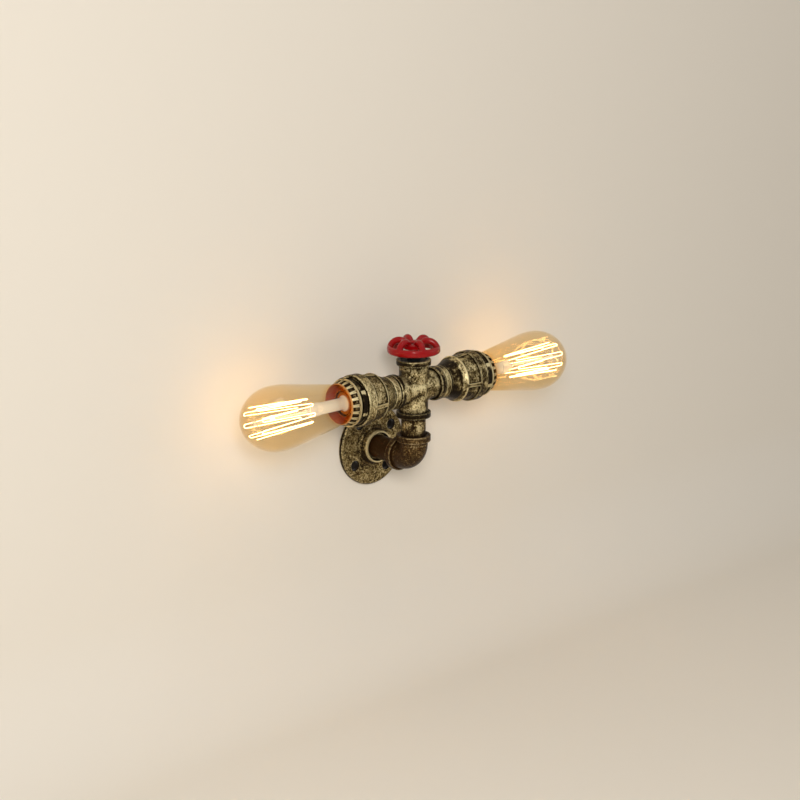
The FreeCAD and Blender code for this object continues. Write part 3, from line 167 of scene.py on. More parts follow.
class SconceLamp(PropertyGroup):
    """Sizes of the lamps, measured along each from the foot of its cap"""

    cap: length("Cap", "Length of the cap with its contact", 26.0)
    cap_diameter: length("Cap diameter", "Diameter over the cap's thread", 26.1)
    cap_wall: length("Cap wall", "Wall of the cap", 0.5)
    cap_foot: length("Cap foot", "Contact tip to the cap's metal", 3.6)
    cap_foot_diameter: length("Cap foot diameter", "Small end of the cap's metal", 19.2)
    cap_taper: length("Cap taper", "Length of the cap's tapered end", 2.6)
    skirt: length("Skirt", "Length of the cap's plain skirt", 3.0)
    skirt_diameter: length("Skirt diameter", "Diameter of the skirt", 26.6)
    pitch: length("Thread pitch", "Rise of the cap's thread in one turn", 3.63)
    thread: length("Thread depth", "Depth of the rolled thread", 0.9)
    glass: length("Glass", "Cap joint to the tip of the glass", 120.0)
    belly: length("Belly", "Largest diameter of the glass", 64.0)
    dome: length("Dome", "Tip of the glass to its largest diameter", 37.0)
    tip: length("Tip", "Radius of the tip", 28.0)
    neck: length("Neck", "Diameter of the glass at the cap", 26.2)
    shoulder: length("Shoulder", "Diameter where the neck ends", 44.0)
    neck_length: length("Neck length", "Cap joint to the end of the neck", 16.5)
    swell: length("Swell", "Radius of the neck's swell", 27.0)
    taper_end: length("Taper end", "Diameter where the long taper ends", 61.1)
    taper_gap: length("Taper gap", "End of the taper to the largest diameter", 17.0)
    taper_round: length("Taper round", "Radius between taper and belly", 99.0)
    wall: length("Wall", "Thickness of the glass", 0.8)
    inside_cap: length("Glass foot", "Length of the glass inside the cap", 5.0)
    stem: length("Stem", "Cap joint to the end of the press", 42.5)
    stem_sink: length("Stem sink", "Cap joint to the stem's foot inside the cap", 3.0)
    stem_foot: length("Stem foot", "Thickness of the stem's foot", 1.0)
    stem_flare: length("Stem flare", "Diameter of the stem's foot", 23.0)
    stem_diameter: length("Stem diameter", "Diameter of the stem", 12.0)
    press_length: length("Press", "Length of the flattened end of the stem", 9.0)
    press_width: length("Press width", "Width of the flattened end", 14.0)
    press_thickness: length("Press thickness", "Thickness of the flattened end", 5.0)
    rod: length("Rod", "Diameter of the glass rod", 2.4)
    strands: IntProperty(name="Strands", description="Strands of the filament", default=16, min=4)
    pinch: number("Pinch", "Lean of a strand to its hook, as a share", 0.4)
    cage_start: length("Cage start", "Cap joint to the lower hooks", 46.5)
    cage_end: length("Cage end", "Cap joint to the upper hooks", 108.5)
    cage_start_diameter: length("Lower ring", "Diameter of the ring of lower hooks", 25.0)
    cage_end_diameter: length("Upper ring", "Diameter of the ring of upper hooks", 31.0)
    filament: length("Filament", "Thickness of the glowing wire", 0.6)
    wire: length("Wire", "Thickness of the support wires", 0.5)
    hook_lift: length("Hook", "Length of a hook's bent end", 1.5)
    feed_spread: length("Feed spread", "Feed wires' distance at the press", 7.0)
    feed_rise: length("Feed rise", "Straight rise of a feed wire above the press", 3.0)


class SconceStage(PropertyGroup):
    """The camera, the lights and the plain surroundings"""

    yaw: angle("Yaw", "Camera's turn from straight ahead", 42.01)
    pitch: angle("Pitch", "Camera's look down", 14.81)
    distance: length("Distance", "Camera to the point it looks at", 1818.6)
    aim: FloatVectorProperty(name="Aim", description="Point that the camera looks at", size=3,
                             subtype="TRANSLATION", default=(-0.01846, -0.0675, 0.06394))
    lens: number("Lens", "Focal length in millimetres for a 36 mm frame", 81.36)
    floor: length("Floor", "Height of the floor from the flange's centre", -230.0)
    wall: length("Wall", "Flange's back to the wall", 0.6)
    wall_box: length("Wall box", "Diameter of the opening behind the flange", 80.0)
    cove: length("Cove", "Radius of the bend between wall and floor", 120.0)
    reach: length("Reach", "How far the wall and floor run", 5000.0)
    screw_circle: length("Screw circle", "Circle of the four wall screws", 61.6)
    # Painted shade: the dark disc on the wall behind each of the flange's screw holes
    hole_shade: length("Screw hole", "Diameter of the dark behind a screw hole", 15.0)
    screw_turn: angle("Screw turn", "Angle of the first screw", 36)
    sky: number("Sky", "Strength of the even light all round", 0.22)
    air: number("Air", "Brightness of what is seen or mirrored", 0.62)
    key: number("Key", "Power of the large soft light", 24.0)
    fill: number("Fill", "Power of the second light", 2.5)
    top: number("Top", "Power of the light from above", 2.0)


class Shade:
    """A shader socket; arithmetic on it adds Math nodes."""

    def __init__(self, graph, socket):
        self.graph = graph
        self.socket = socket

    def __add__(self, other):
        return self.graph.maths("ADD", self, other)

    def __sub__(self, other):
        return self.graph.maths("SUBTRACT", self, other)

    def __mul__(self, other):
        return self.graph.maths("MULTIPLY", self, other)

    def __pow__(self, other):
        return self.graph.maths("POWER", self, other)

    def __radd__(self, other):
        return self.graph.maths("ADD", other, self)

    def __rsub__(self, other):
        return self.graph.maths("SUBTRACT", other, self)

    def __rmul__(self, other):
        return self.graph.maths("MULTIPLY", other, self)

    def above(self, low, high):
        """0 below low, 1 above high, smooth between them."""
        return self.graph.node("ShaderNodeMapRange", {"interpolation_type": "SMOOTHSTEP"},
                               {"Value": self, "From Min": low, "From Max": high})


class Graph:
    """The node tree of one material or of the sky."""

    def __init__(self, owner):
        owner.use_nodes = True
        self.owner = owner
        self.tree = owner.node_tree
        self.tree.nodes.clear()

    def node(self, kind, settings=(), inputs=(), output=0):
        """Adds a node, sets it up, fills its sockets and returns one output."""
        made = self.tree.nodes.new(kind)
        for key, setting in dict(settings).items():
            if key == "stops":
                self.set_stops(made.color_ramp.elements, setting)
            else:
                setattr(made, key, setting)
        for key, item in dict(inputs).items():
            if isinstance(item, Shade):
                self.tree.links.new(item.socket, made.inputs[key])
            else:
                made.inputs[key].default_value = item
        return Shade(self, made.outputs[output]) if made.outputs else None

    def set_stops(self, elements, stops):
        """Fills a ramp with (position, colour) stops in rising order."""
        elements.remove(elements[1])
        elements[0].position, elements[0].color = stops[0][0], solid(stops[0][1])
        for position, tint in stops[1:]:
            elements.new(position).color = solid(tint)

    def maths(self, operation, *terms):
        return self.node("ShaderNodeMath", {"operation": operation}, enumerate(terms))

    def vector(self, operation, *terms, output="Vector"):
        return self.node("ShaderNodeVectorMath", {"operation": operation}, enumerate(terms), output)

    def part(self, vector, axis):
        """One number of a vector."""
        return self.node("ShaderNodeSeparateXYZ", (), {0: vector}, axis)

    def place(self):
        """The point on the object in metres."""
        return self.node("ShaderNodeTexCoord", output="Object")

    def facing(self, axis):
        """How far the surface faces along an axis, from -1 to 1."""
        normal = self.node("ShaderNodeNewGeometry", output="Normal")
        return self.vector("DOT_PRODUCT", normal, axis, output="Value")

    def outline(self, blend=0.5):
        """0 where a face is seen straight on, 1 at its outline."""
        return self.node("ShaderNodeLayerWeight", (), {"Blend": blend}, "Facing")

    def noise(self, size, detail=3.0, stretch=(1, 1, 1), roughness=0.55):
        """Cloudy noise with blotches of the given size in metres."""
        spot = self.node("ShaderNodeMapping", (), {"Vector": self.place(), "Scale": stretch})
        return self.node("ShaderNodeTexNoise", (), {
            "Vector": spot, "Scale": 1 / size, "Detail": detail, "Roughness": roughness})

    def mix(self, factor, first, second):
        """A colour between two others."""
        return self.node("ShaderNodeMix", {"data_type": "RGBA"},
                         {0: factor, 6: solid(first), 7: solid(second)}, output=2)

    def offset(self, centre, axes=(1, 1, 1)):
        """Vector from a centre to the surface, kept to the axes given."""
        return self.vector("MULTIPLY", self.vector("SUBTRACT", self.place(), centre), axes)

    def distance(self, centre, axes=(1, 1, 1)):
        return self.vector("LENGTH", self.offset(centre, axes), output="Value")

    def along(self):
        """Distance from the cross's centre along the lamps' axis."""
        return self.distance(CROSS_CENTRE, (1, 0, 0))

    def radius(self):
        """Distance from the lamps' axis."""
        return self.distance(CROSS_CENTRE, (0, 1, 1))

    def past(self, centre, reach):
        """1 on a fitting's end beads, farther than reach from its centre along any axis."""
        away = self.vector("ABSOLUTE", self.offset(centre))
        most = self.maths("MAXIMUM", self.part(away, "X"), self.part(away, "Y"))
        return self.maths("MAXIMUM", most, self.part(away, "Z")).above(reach, reach + 0.5 * MM)

    def lobes(self, count, start):
        """Waves from -1 to 1 round the lamps' axis, with a crest at start above the front."""
        spot = self.offset(CROSS_CENTRE)
        turn = self.maths("ARCTAN2", self.part(spot, "Z"), -1 * self.part(spot, "Y"))
        return self.maths("COSINE", count * (turn - math.radians(start)))

    def openness(self, reach, inside=False):
        """1 on open surfaces and less in recesses, or less on thin edges when inside is set."""
        return self.node("ShaderNodeAmbientOcclusion", {"samples": 8, "inside": inside},
                         {"Distance": reach}, output="AO")

    def bump(self, height, strength, depth):
        return self.node("ShaderNodeBump", (), {"Height": height, "Strength": strength, "Distance": depth})

    def principled(self, inputs):
        return self.node("ShaderNodeBsdfPrincipled", (), inputs)

    def clear(self, tint=(1, 1, 1)):
        return self.node("ShaderNodeBsdfTransparent", (), {"Color": solid(tint)})

    def blend(self, share, first, second):
        return self.node("ShaderNodeMixShader", (), {0: share, 1: first, 2: second})

    def finish(self, surface):
        self.node("ShaderNodeOutputMaterial", (), {"Surface": surface})
        return self.owner


def solid(item):
    """A colour with its fourth number, or a link as it is."""
    return item if isinstance(item, Shade) else (*tuple(item)[:3], 1.0)


def between(first, second, share):
    return Vector(first).lerp(Vector(second), share)


def material_graph(name):
    return Graph(bpy.data.materials.new(name))


def finishes():
    return bpy.context.scene.sconce_finishes


# Finishes

def antique(name, cover, brown=0.0, stretch=(1, 1, 1), polish=1.0, patchy=0.35, crisp=1.0, bare=None,
            glow_lining=None, sheltered=None):
    """Dark undercoat under dry-brushed gold, bare in recesses and rubbed bright on edges, with painted shade
    towards the outlines and painted light on faces turned to the front and above.

    A higher cover leaves more gold, brown turns undercoat and gold warmer, polish brightens the edges,
    patchy is the part that large patches have in the pattern, and crisp sharpens it. bare is a mask of
    extra dark places, some of them painted shade, and it may also add gold as a painted highlight;
    glow_lining is a mask of the lamp's painted orange light, and sheltered one of faces that count as open
    though something stands close before them.
    """
    looks = finishes()
    g = material_graph(name)
    grain = g.noise(looks.grain, 3.0, stretch, 0.7)
    strokes = g.noise(looks.stroke, 4.0, stretch, 0.7)
    dabs = patchy * g.noise(looks.patch, 3.0) + (0.7 - patchy) * strokes + 0.3 * grain
    # Painted shade towards each outline as seen, and painted light on faces turned to the front and above
    outline_shade = g.outline() ** 2
    open_part = g.openness(looks.recess)
    wear_and_painted_light = looks.contrast * crisp * (dabs - 0.5) - 0.45 * outline_shade + 0.4 * g.facing(PAINTED_LIGHT_SIDE)
    wear_and_painted_light = wear_and_painted_light + 2.0 * open_part + (cover - 1.98)
    if sheltered:
        wear_and_painted_light = wear_and_painted_light + (2.4 - 2.0 * open_part) * sheltered(g)
    if bare:
        wear_and_painted_light = wear_and_painted_light - bare(g)
    wear_and_painted_light = wear_and_painted_light - 0.8 * g.noise(looks.pit, 1.0).above(0.60, 0.70)
    if polish:
        edge = 1 - g.openness(looks.edge, inside=True)
        wear_and_painted_light = wear_and_painted_light + polish * (edge * (0.6 + 0.8 * grain)).above(0.12, 0.45)
    under = between(looks.patina, looks.umber, brown)
    leaf = between(looks.gilt, looks.copper, brown)
    tones = (
        (0.0, under),
        (0.34, between(under, looks.old_gilt, 0.3)),
        (0.52, between(looks.old_gilt, leaf, 0.3)),
        (0.74, leaf),
        (1.0, between(looks.pale_gilt, looks.copper, 0.5 * brown)),
    )
    base = g.node("ShaderNodeValToRGB", {"stops": tones}, {"Fac": wear_and_painted_light})
    gold = wear_and_painted_light.above(0.3, 0.7)
    if glow_lining:
        # Painted light: the lamp's orange glow laid over the finish inside the mouths
        inner = glow_lining(g)
        base = g.mix(inner, base, looks.moulding_and_glow)
        gold = gold * (1 - inner)
    rough = 0.32 + 0.25 * (grain - 0.5)
    relief = g.bump(grain + 0.8 * dabs + 0.4 * gold, 0.6, 0.4 * MM)
    return g.finish(g.principled({"Base Color": base, "Metallic": 0.75 * gold, "Roughness": rough,
                                  "Specular IOR Level": 0.1, "Specular Tint": (0.35, 0.28, 0.2, 1),
                                  "Normal": relief}))


def paint(name, tint, corner_shade, coat, rough, gloss):
    """Paint on a cast surface, with painted shade in its corners; corner_shade is the brightness left there,
    as a share.
    """
    g = material_graph(name)
    cloud = g.noise(6 * MM, 2.0)
    peel = g.noise(1.6 * MM, 2.0)
    corner = 1 - g.openness(4 * MM)
    base = g.mix(corner + 0.3 * (cloud - 0.4), tint, Vector(tint) * corner_shade)
    return g.finish(g.principled({
        "Base Color": base, "Roughness": rough + 0.12 * (cloud - 0.5) + 0.2 * corner,
        "Specular IOR Level": gloss, "Coat Weight": coat, "Coat Roughness": 0.08,
        "Normal": g.bump(peel + 1.5 * cloud, 0.25, 0.3 * MM)}))


def drawn_metal(name, tint, rough=0.3):
    """Thin stamped metal with a little tarnish."""
    g = material_graph(name)
    tarnish = g.noise(3 * MM, 4.0)
    scratch = g.noise(0.8 * MM, 2.0, (1, 6, 1))
    return g.finish(g.principled({
        "Base Color": g.mix(tarnish.above(0.45, 0.75) * 0.6, tint, Vector(tint) * 0.55), "Metallic": 1.0,
        "Roughness": rough + 0.2 * (tarnish - 0.5), "Normal": g.bump(scratch, 0.2, 0.1 * MM)}))


def moulded(name, tint, rough=0.35):
    """Moulded or extruded plastic, faintly mottled."""
    g = material_graph(name)
    mottle = g.noise(2 * MM, 3.0)
    return g.finish(g.principled({
        "Base Color": g.mix(mottle.above(0.4, 0.7) * 0.5, tint, Vector(tint) * 0.6),
        "Roughness": rough + 0.15 * (mottle - 0.5), "Normal": g.bump(mottle, 0.15, 0.1 * MM)}))


def blown_glass(name, tint, neck_tint):
    """Clear, faintly waved glass, deeper in its neck, that mirrors more at its outline and its far end."""
    g = material_graph(name)
    waves = g.noise(14 * MM, 1.0, (1, 0.4, 0.4))
    along = g.along()
    past_mouth = along.above(BEZEL_X - 6 * MM, BEZEL_X + 8 * MM)
    far_end = along.above(BEZEL_X + 6 * MM, BEZEL_X + 40 * MM)
    sheen = (0.05 + 0.9 * g.outline() ** 5) * (0.1 + 0.9 * far_end)
    clear = g.blend(past_mouth, g.clear(neck_tint), g.clear(tint))
    mirror = g.principled({
        "Base Color": g.mix(waves, (1, 1, 1), tint), "Metallic": 1.0, "Roughness": 0.03 + 0.04 * waves,
        "Normal": g.bump(waves, 0.3, 0.6 * MM)})
    return g.finish(g.blend(sheen, clear, mirror))


def frosted_glass(name, tint, foot_glow, stem_glow):
    """Pressed glass of the stem, with a painted glow in its tube and the lamp's painted orange light on its
    flared foot.
    """
    g = material_graph(name)
    cloud = g.noise(4 * MM, 2.0)
    outline = g.outline(0.35)
    tube_radius = bpy.context.scene.sconce_lamp.stem_diameter / 2
    tube = 1 - g.radius().above(1.2 * tube_radius, 1.4 * tube_radius)
    return g.finish(g.principled({
        "Base Color": g.mix(tube, foot_glow, g.mix(cloud, tint, Vector(tint) * 0.85)),
        "Roughness": 0.18 + 0.1 * cloud, "Alpha": 0.65 + 0.3 * outline + 0.1 * (cloud - 0.5),
        "Coat Weight": 0.5 * tube, "Emission Color": g.mix(tube, (0, 0, 0), stem_glow),
        "Emission Strength": 1.0, "Normal": g.bump(cloud, 0.2, 0.3 * MM)}))


def glowing(name):
    """The hot wire, a little cooler in places."""
    looks = finishes()
    g = material_graph(name)
    flicker = g.noise(5 * MM, 2.0)
    heat = g.mix(flicker.above(0.3, 0.7), looks.glow, between(looks.glow, (1, 0.84, 0.5), 0.5))
    return g.finish(g.principled({"Base Color": heat, "Roughness": 0.5, "Emission Color": heat,
                                  "Emission Strength": looks.glow_strength}))


def screw_spots():
    """Centres of the four wall screws, with Z in place of Y."""
    stage = bpy.context.scene.sconce_stage
    return [around(stage.screw_circle / 2, stage.screw_turn + k * math.pi / 2, 0) for k in range(4)]


def shaded_screw_holes(g):
    """Painted shade: black in the flange's screw holes and on their bevels."""
    plain = 1
    for spot in screw_spots():
        away = g.distance((spot.x, 0, spot.y), (1, 0, 1))
        plain = plain * away.above(SCREW_EDGE, SCREW_EDGE + 0.4 * MM)
    return 5 - 5 * plain


def wall_side(g):
    """The flange's back, which lies against the wall."""
    return g.facing((0, 1, 0)).above(0.8, 0.95)


def elbow_beads(g):
    """A little dark on the elbow's beads."""
    return 0.1 * g.past(ELBOW_CENTRE, ELBOW_BEAD)


def cross_beads(g):
    """Dark on the cross's beads, most on the lowest."""
    above_cross = (0, STACK_Y, LAMP_Z + 1)
    lowest = g.distance(above_cross, (0, 0, 1)).above(1 + CROSS_BEAD, 1 + CROSS_BEAD + 0.5 * MM)
    return 0.65 * g.past(CROSS_CENTRE, CROSS_BEAD) + 0.4 * lowest


def cone_and_ridge(g):
    """Dark on the holder's cone, gold on the shoulder between cone and panels."""
    along = g.along()
    past_cone = along.above(CONE_END, CONE_END + 2 * MM)
    ridge = past_cone * (1 - along.above(PANEL_START, PANEL_START + 1.5 * MM))
    return 0.45 * (1 - past_cone) - 0.4 * ridge


def pad_groove_and_highlights(g):
    """Black groove and pads, with gold at the two ends of each pad as a painted highlight."""
    raised = g.radius().above(GROOVE, GROOVE + 1 * MM)
    return 0.5 - 1.5 * raised * (1 - g.lobes(PADS, PAD_TURN).above(0.3, 0.55))


def before_slots(along):
    return along.above(LIP_X, LIP_X + 0.5 * MM)


def mouth_glow(g):
    """Painted orange light of the lamp on the bezel's bore and, less strongly, on the lip in front of its
    slots.
    """
    bore = 1 - g.radius().above(BORE, BORE + 0.45 * MM)
    return bore + 0.8 * before_slots(g.along()) * (1 - bore)


def slot_floors(g):
    """Dark in the bezel's slots, whose floor follows its cone, and at their front ends."""
    along = g.along()
    cone = g.radius() + SLOT_SLOPE * (along - SLOT_FLOOR_X)
    floor = 1 - cone.above(SLOT_FLOOR, SLOT_FLOOR + 0.6 * MM)
    front = along.above(SLOT_END_X, SLOT_END_X + 1 * MM) * (1 - before_slots(along))
    return 1.6 * floor + 3.5 * front * g.lobes(SLOTS, SLOT_TURN).above(-0.5, -0.2)


def dress(material, *names):
    """Gives CAD nodes their finish."""
    for name in names:
        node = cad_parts[name]
        if not node.material_slots:
            node.data.materials.append(None)
        for slot in node.material_slots:
            slot.material = material


def both(*names):
    return ["%s_%s" % (name, side) for name in names for side, sign in SIDES]


# Shapes

def add_object(name, data, material, body=None, replaced=()):
    """Links a new piece, finishes it and ties it to the frame."""
    piece = bpy.data.objects.new(name, data)
    bpy.context.scene.collection.objects.link(piece)
    data.materials.append(material)
    if body:
        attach(piece, body)
    if replaced:
        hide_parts(*replaced)
    return piece


def arm_matrix(side, distance):
    """Local Z along a lamp arm, away from the cross."""
    turned = Matrix.Rotation(side * math.pi / 2, 4, "Y")
    return Matrix.Translation((side * distance, STACK_Y, LAMP_Z)) @ turned


def arc(start, end, radius, steps=10):
    """Points after start on an arc that swells away from the axis."""
    start, end = Vector(start), Vector(end)
    chord = end - start
    left = Vector((-chord.y, chord.x)).normalized()
    centre = (start + end) / 2 + left * math.sqrt(max(radius ** 2 - chord.length_squared / 4, 0))
    first = math.atan2(*(start - centre).yx)
    last = math.atan2(*(end - centre).yx)
    sweep = (last - first + math.pi) % math.tau - math.pi
    return [tuple(centre + Vector((math.cos(a), math.sin(a))) * radius)
            for a in (first + sweep * k / steps for k in range(1, steps + 1))]


def around(radius, turn, height):
    return Vector((radius * math.cos(turn), radius * math.sin(turn), height))


def finished_mesh(name, bm, matrix, sharp=40):
    mesh = bpy.data.meshes.new(name)
    bm.to_mesh(mesh)
    bm.free()
    mesh.transform(matrix)
    mesh.shade_smooth()
    mesh.set_sharp_from_angle(angle=math.radians(sharp))
    return mesh


def skin(bm, rings, closed):
    """Faces from each ring of vertices to the next; closed joins the last to the first."""
    pairs = list(zip(rings, rings[1:]))
    if closed:
        pairs.append((rings[-1], rings[0]))
    for low, high in pairs:
        for k in range(max(len(low), len(high))):
            after = k + 1
            corners = [low[k % len(low)], low[after % len(low)], high[after % len(high)], high[k % len(high)]]
            corners = list(dict.fromkeys(corners))
            if len(corners) > 2:
                bm.faces.new(corners)


def lathe(name, profile, matrix, segments=96, closed=True, shape=None, sharp=40):
    """Turns (radius, height) points about local Z; shape may change each radius."""
    bm = bmesh.new()
    rings = []
    for radius, height in profile:
        turns = [math.tau * k / segments for k in range(segments)] if radius > 1e-6 else [0]
        rings.append([bm.verts.new(around(shape(turn, radius, height) if shape else radius, turn, height))
                      for turn in turns])
    skin(bm, rings, closed)
    bmesh.ops.recalc_face_normals(bm, faces=bm.faces)
    return finished_mesh(name, bm, matrix, sharp)


def wire(name, lines, thickness, matrix, sides=3):
    """Round wires along lists of points."""
    curve = bpy.data.curves.new(name, "CURVE")
    curve.dimensions = "3D"
    curve.bevel_depth = thickness / 2
    curve.bevel_resolution = sides
    curve.use_fill_caps = True
    for line in lines:
        spline = curve.splines.new("POLY")
        spline.points.add(len(line) - 1)
        for point, spot in zip(spline.points, line):
            point.co = (*(matrix @ spot), 1)
    return curve


class SCONCE_OT_pipework(Operator):
    """Finish the flange, pipes, elbow, cross and plug"""

    bl_idname = "sconce.pipework"
    bl_label = "Pipework"

    def execute(self, context):
        looks = finishes()
        dress(antique("flange_finish", 0.26, 0.1, polish=1.4, patchy=0.2, crisp=0.6, bare=shaded_screw_holes,
                      sheltered=wall_side), "wall_flange")
        dress(antique("wall_pipe_finish", -0.1, 1.0, polish=0, crisp=0.7), "wall_nipple")
        dress(antique("elbow_finish", 0.18, 0.85, patchy=0.15, crisp=0.6, bare=elbow_beads), "elbow")
        dress(antique("riser_finish", 0.36, 0.3, polish=0), "riser_nipple")
        dress(antique("cross_finish", 0.46, 0.05, polish=1.5, bare=cross_beads), "cross")
        dress(antique("arm_pipe_finish", 0.1, 0.2, polish=0), *both("arm_nipple"))
        dress(paint("plug_black", looks.plug_black, corner_shade=0.5, coat=0.0, rough=0.55, gloss=0.2), "top_plug")
        dress(drawn_metal("dark_spindle_steel", Vector(looks.steel) * 0.15, 0.45), "wheel_spindle")
        dress(moulded("line_insulation", looks.lead_line), *both("lead_line"))
        dress(moulded("neutral_insulation", looks.lead_neutral), *both("lead_neutral"))
        return {"FINISHED"}


class SCONCE_OT_handwheel(Operator):
    """Cast the red handwheel with its arched arms"""

    bl_idname = "sconce.handwheel"
    bl_label = "Handwheel"

    def execute(self, context):
        mesh = self.cast(context.scene.sconce_wheel)
        red = paint("handwheel_red", finishes().wheel_red, corner_shade=0.15, coat=0.25, rough=0.14, gloss=0.12)
        add_object("wheel_casting", mesh, red, "wheel", ["handwheel"])
        dress(red, "wheel_screw")
        return {"FINISHED"}

    def cast(self, sizes):
        """The parts joined in one smooth skin, in place."""
        worker = bpy.data.objects.new("handwheel_parts", self.parts(sizes))
        bpy.context.scene.collection.objects.link(worker)
        join = worker.modifiers.new("join", "REMESH")
        join.mode = "VOXEL"
        join.voxel_size = sizes.voxel
        join.use_smooth_shade = True
        smooth = worker.modifiers.new("smooth", "CORRECTIVE_SMOOTH")
        smooth.factor = 0.6
        smooth.iterations = 6
        smooth.smooth_type = "SIMPLE"
        smooth.use_only_smooth = True
        graph = bpy.context.evaluated_depsgraph_get()
        mesh = bpy.data.meshes.new_from_object(worker.evaluated_get(graph))
        bpy.data.objects.remove(worker)
        mesh.name = "handwheel_casting"
        mesh.materials.clear()
        mesh.transform(Matrix.Translation((0, STACK_Y, WHEEL_Z)) @ Matrix.Rotation(sizes.turn, 4, "Z"))
        mesh.shade_smooth()
        return mesh

    def parts(self, sizes):
        """Rim, hub and arms, still overlapping."""
        bm = bmesh.new()
        outer = sizes.diameter / 2
        hub_top = sizes.hub_base + sizes.hub_height
        self.add_ring(bm, self.soft_box(outer - sizes.rim_width, outer, 0, sizes.rim_height, sizes.rim_round))
        self.add_ring(bm, self.soft_box(sizes.shaft / 2, sizes.hub_diameter / 2, sizes.hub_base, hub_top,
                                        sizes.hub_round))
        for k in range(sizes.arms):
            self.add_arm(bm, sizes, math.tau * k / sizes.arms)
        bmesh.ops.recalc_face_normals(bm, faces=bm.faces)
        mesh = bpy.data.meshes.new("handwheel_parts")
        bm.to_mesh(mesh)
        bm.free()
        return mesh

    def soft_box(self, inner, outer, low, high, soft, steps=5):
        """The section of a ring with rounded corners."""
        points = []
        corners = ((outer - soft, low + soft, -90), (outer - soft, high - soft, 0),
                   (inner + soft, high - soft, 90), (inner + soft, low + soft, 180))
        for x, z, start in corners:
            for k in range(steps + 1):
                turn = math.radians(start + 90 * k / steps)
                points.append((x + soft * math.cos(turn), z + soft * math.sin(turn)))
        return points

    def add_ring(self, bm, profile, segments=96):
        skin(bm, [[bm.verts.new(around(x, math.tau * k / segments, z)) for x, z in profile]
                  for k in range(segments)], True)

    def add_arm(self, bm, sizes, turn, sides=20, steps=12):
        """A rod from the rim up over its crown and down to the hub, thicker at both feet."""
        foot = (sizes.diameter - sizes.arm) / 2
        crown = foot - sizes.outer_bend
        top = sizes.foot + sizes.outer_bend
        bends = [math.pi / 2 * k / steps for k in range(steps + 1)]
        outer, inner = sizes.outer_bend, sizes.inner_bend
        path = [(crown + outer * math.cos(a), sizes.foot + outer * math.sin(a)) for a in bends]
        path += [(crown - inner * math.sin(a), top - inner * (1 - math.cos(a))) for a in bends[1:]]
        spin = Matrix.Rotation(turn, 4, "Z")
        rings = []
        for k, (x, z) in enumerate(path):
            before, after = path[max(k - 1, 0)], path[min(k + 1, len(path) - 1)]
            along = Vector((after[0] - before[0], 0, after[1] - before[1])).normalized()
            across = Vector((along.z, 0, -along.x))
            share = max(0, 1 - 2 * k / (len(path) - 1)), max(0, 2 * k / (len(path) - 1) - 1)
            radius = sizes.arm / 2 * (1 + 0.05 * share[0] ** 4 + 0.15 * share[1] ** 4)
            turns = [math.tau * i / sides for i in range(sides)]
            rings.append([bm.verts.new(spin @ (Vector((x, 0, z)) + radius * (
                across * math.cos(a) + Vector((0, 1, 0)) * math.sin(a)))) for a in turns])
        skin(bm, rings, False)
        bm.faces.new(rings[0])
        bm.faces.new(rings[-1])


class SCONCE_OT_lampholders(Operator):
    """Finish the lock rings, castings, cover rings, bezels and what they hold"""

    bl_idname = "sconce.lampholders"
    bl_label = "Lampholders"

    def execute(self, context):
        looks = finishes()
        dress(antique("lock_ring_finish", 0.46, stretch=(1.8, 0.7, 0.7), polish=2.0), *both("lock_ring"))
        lengthwise = (1.6, 0.8, 0.8)
        dress(antique("left_casting_finish", 0.36, stretch=lengthwise, polish=1.4, patchy=0.2, crisp=0.75),
              "holder_casting_left")
        dress(antique("right_casting_finish", 0.16, stretch=lengthwise, polish=1.4, patchy=0.4,
                      bare=cone_and_ridge), "holder_casting_right")
        dress(antique("cover_ring_finish", 0.0, polish=0.5, bare=pad_groove_and_highlights), *both("cover_ring"))
        dress(antique("bezel_finish", 0.2, 0.4, polish=1.8, bare=slot_floors, glow_lining=mouth_glow), *both("bezel"))
        dress(moulded("insulator_moulding", looks.moulding_and_glow, 0.4), *both("insulator"))
        dress(drawn_metal("socket_brass", looks.brass),
              *both("socket_shell", "centre_contact", "terminal_line", "terminal_neutral"))
        dress(drawn_metal("screw_steel", looks.steel), *both("fixing_screws"))
        return {"FINISHED"}


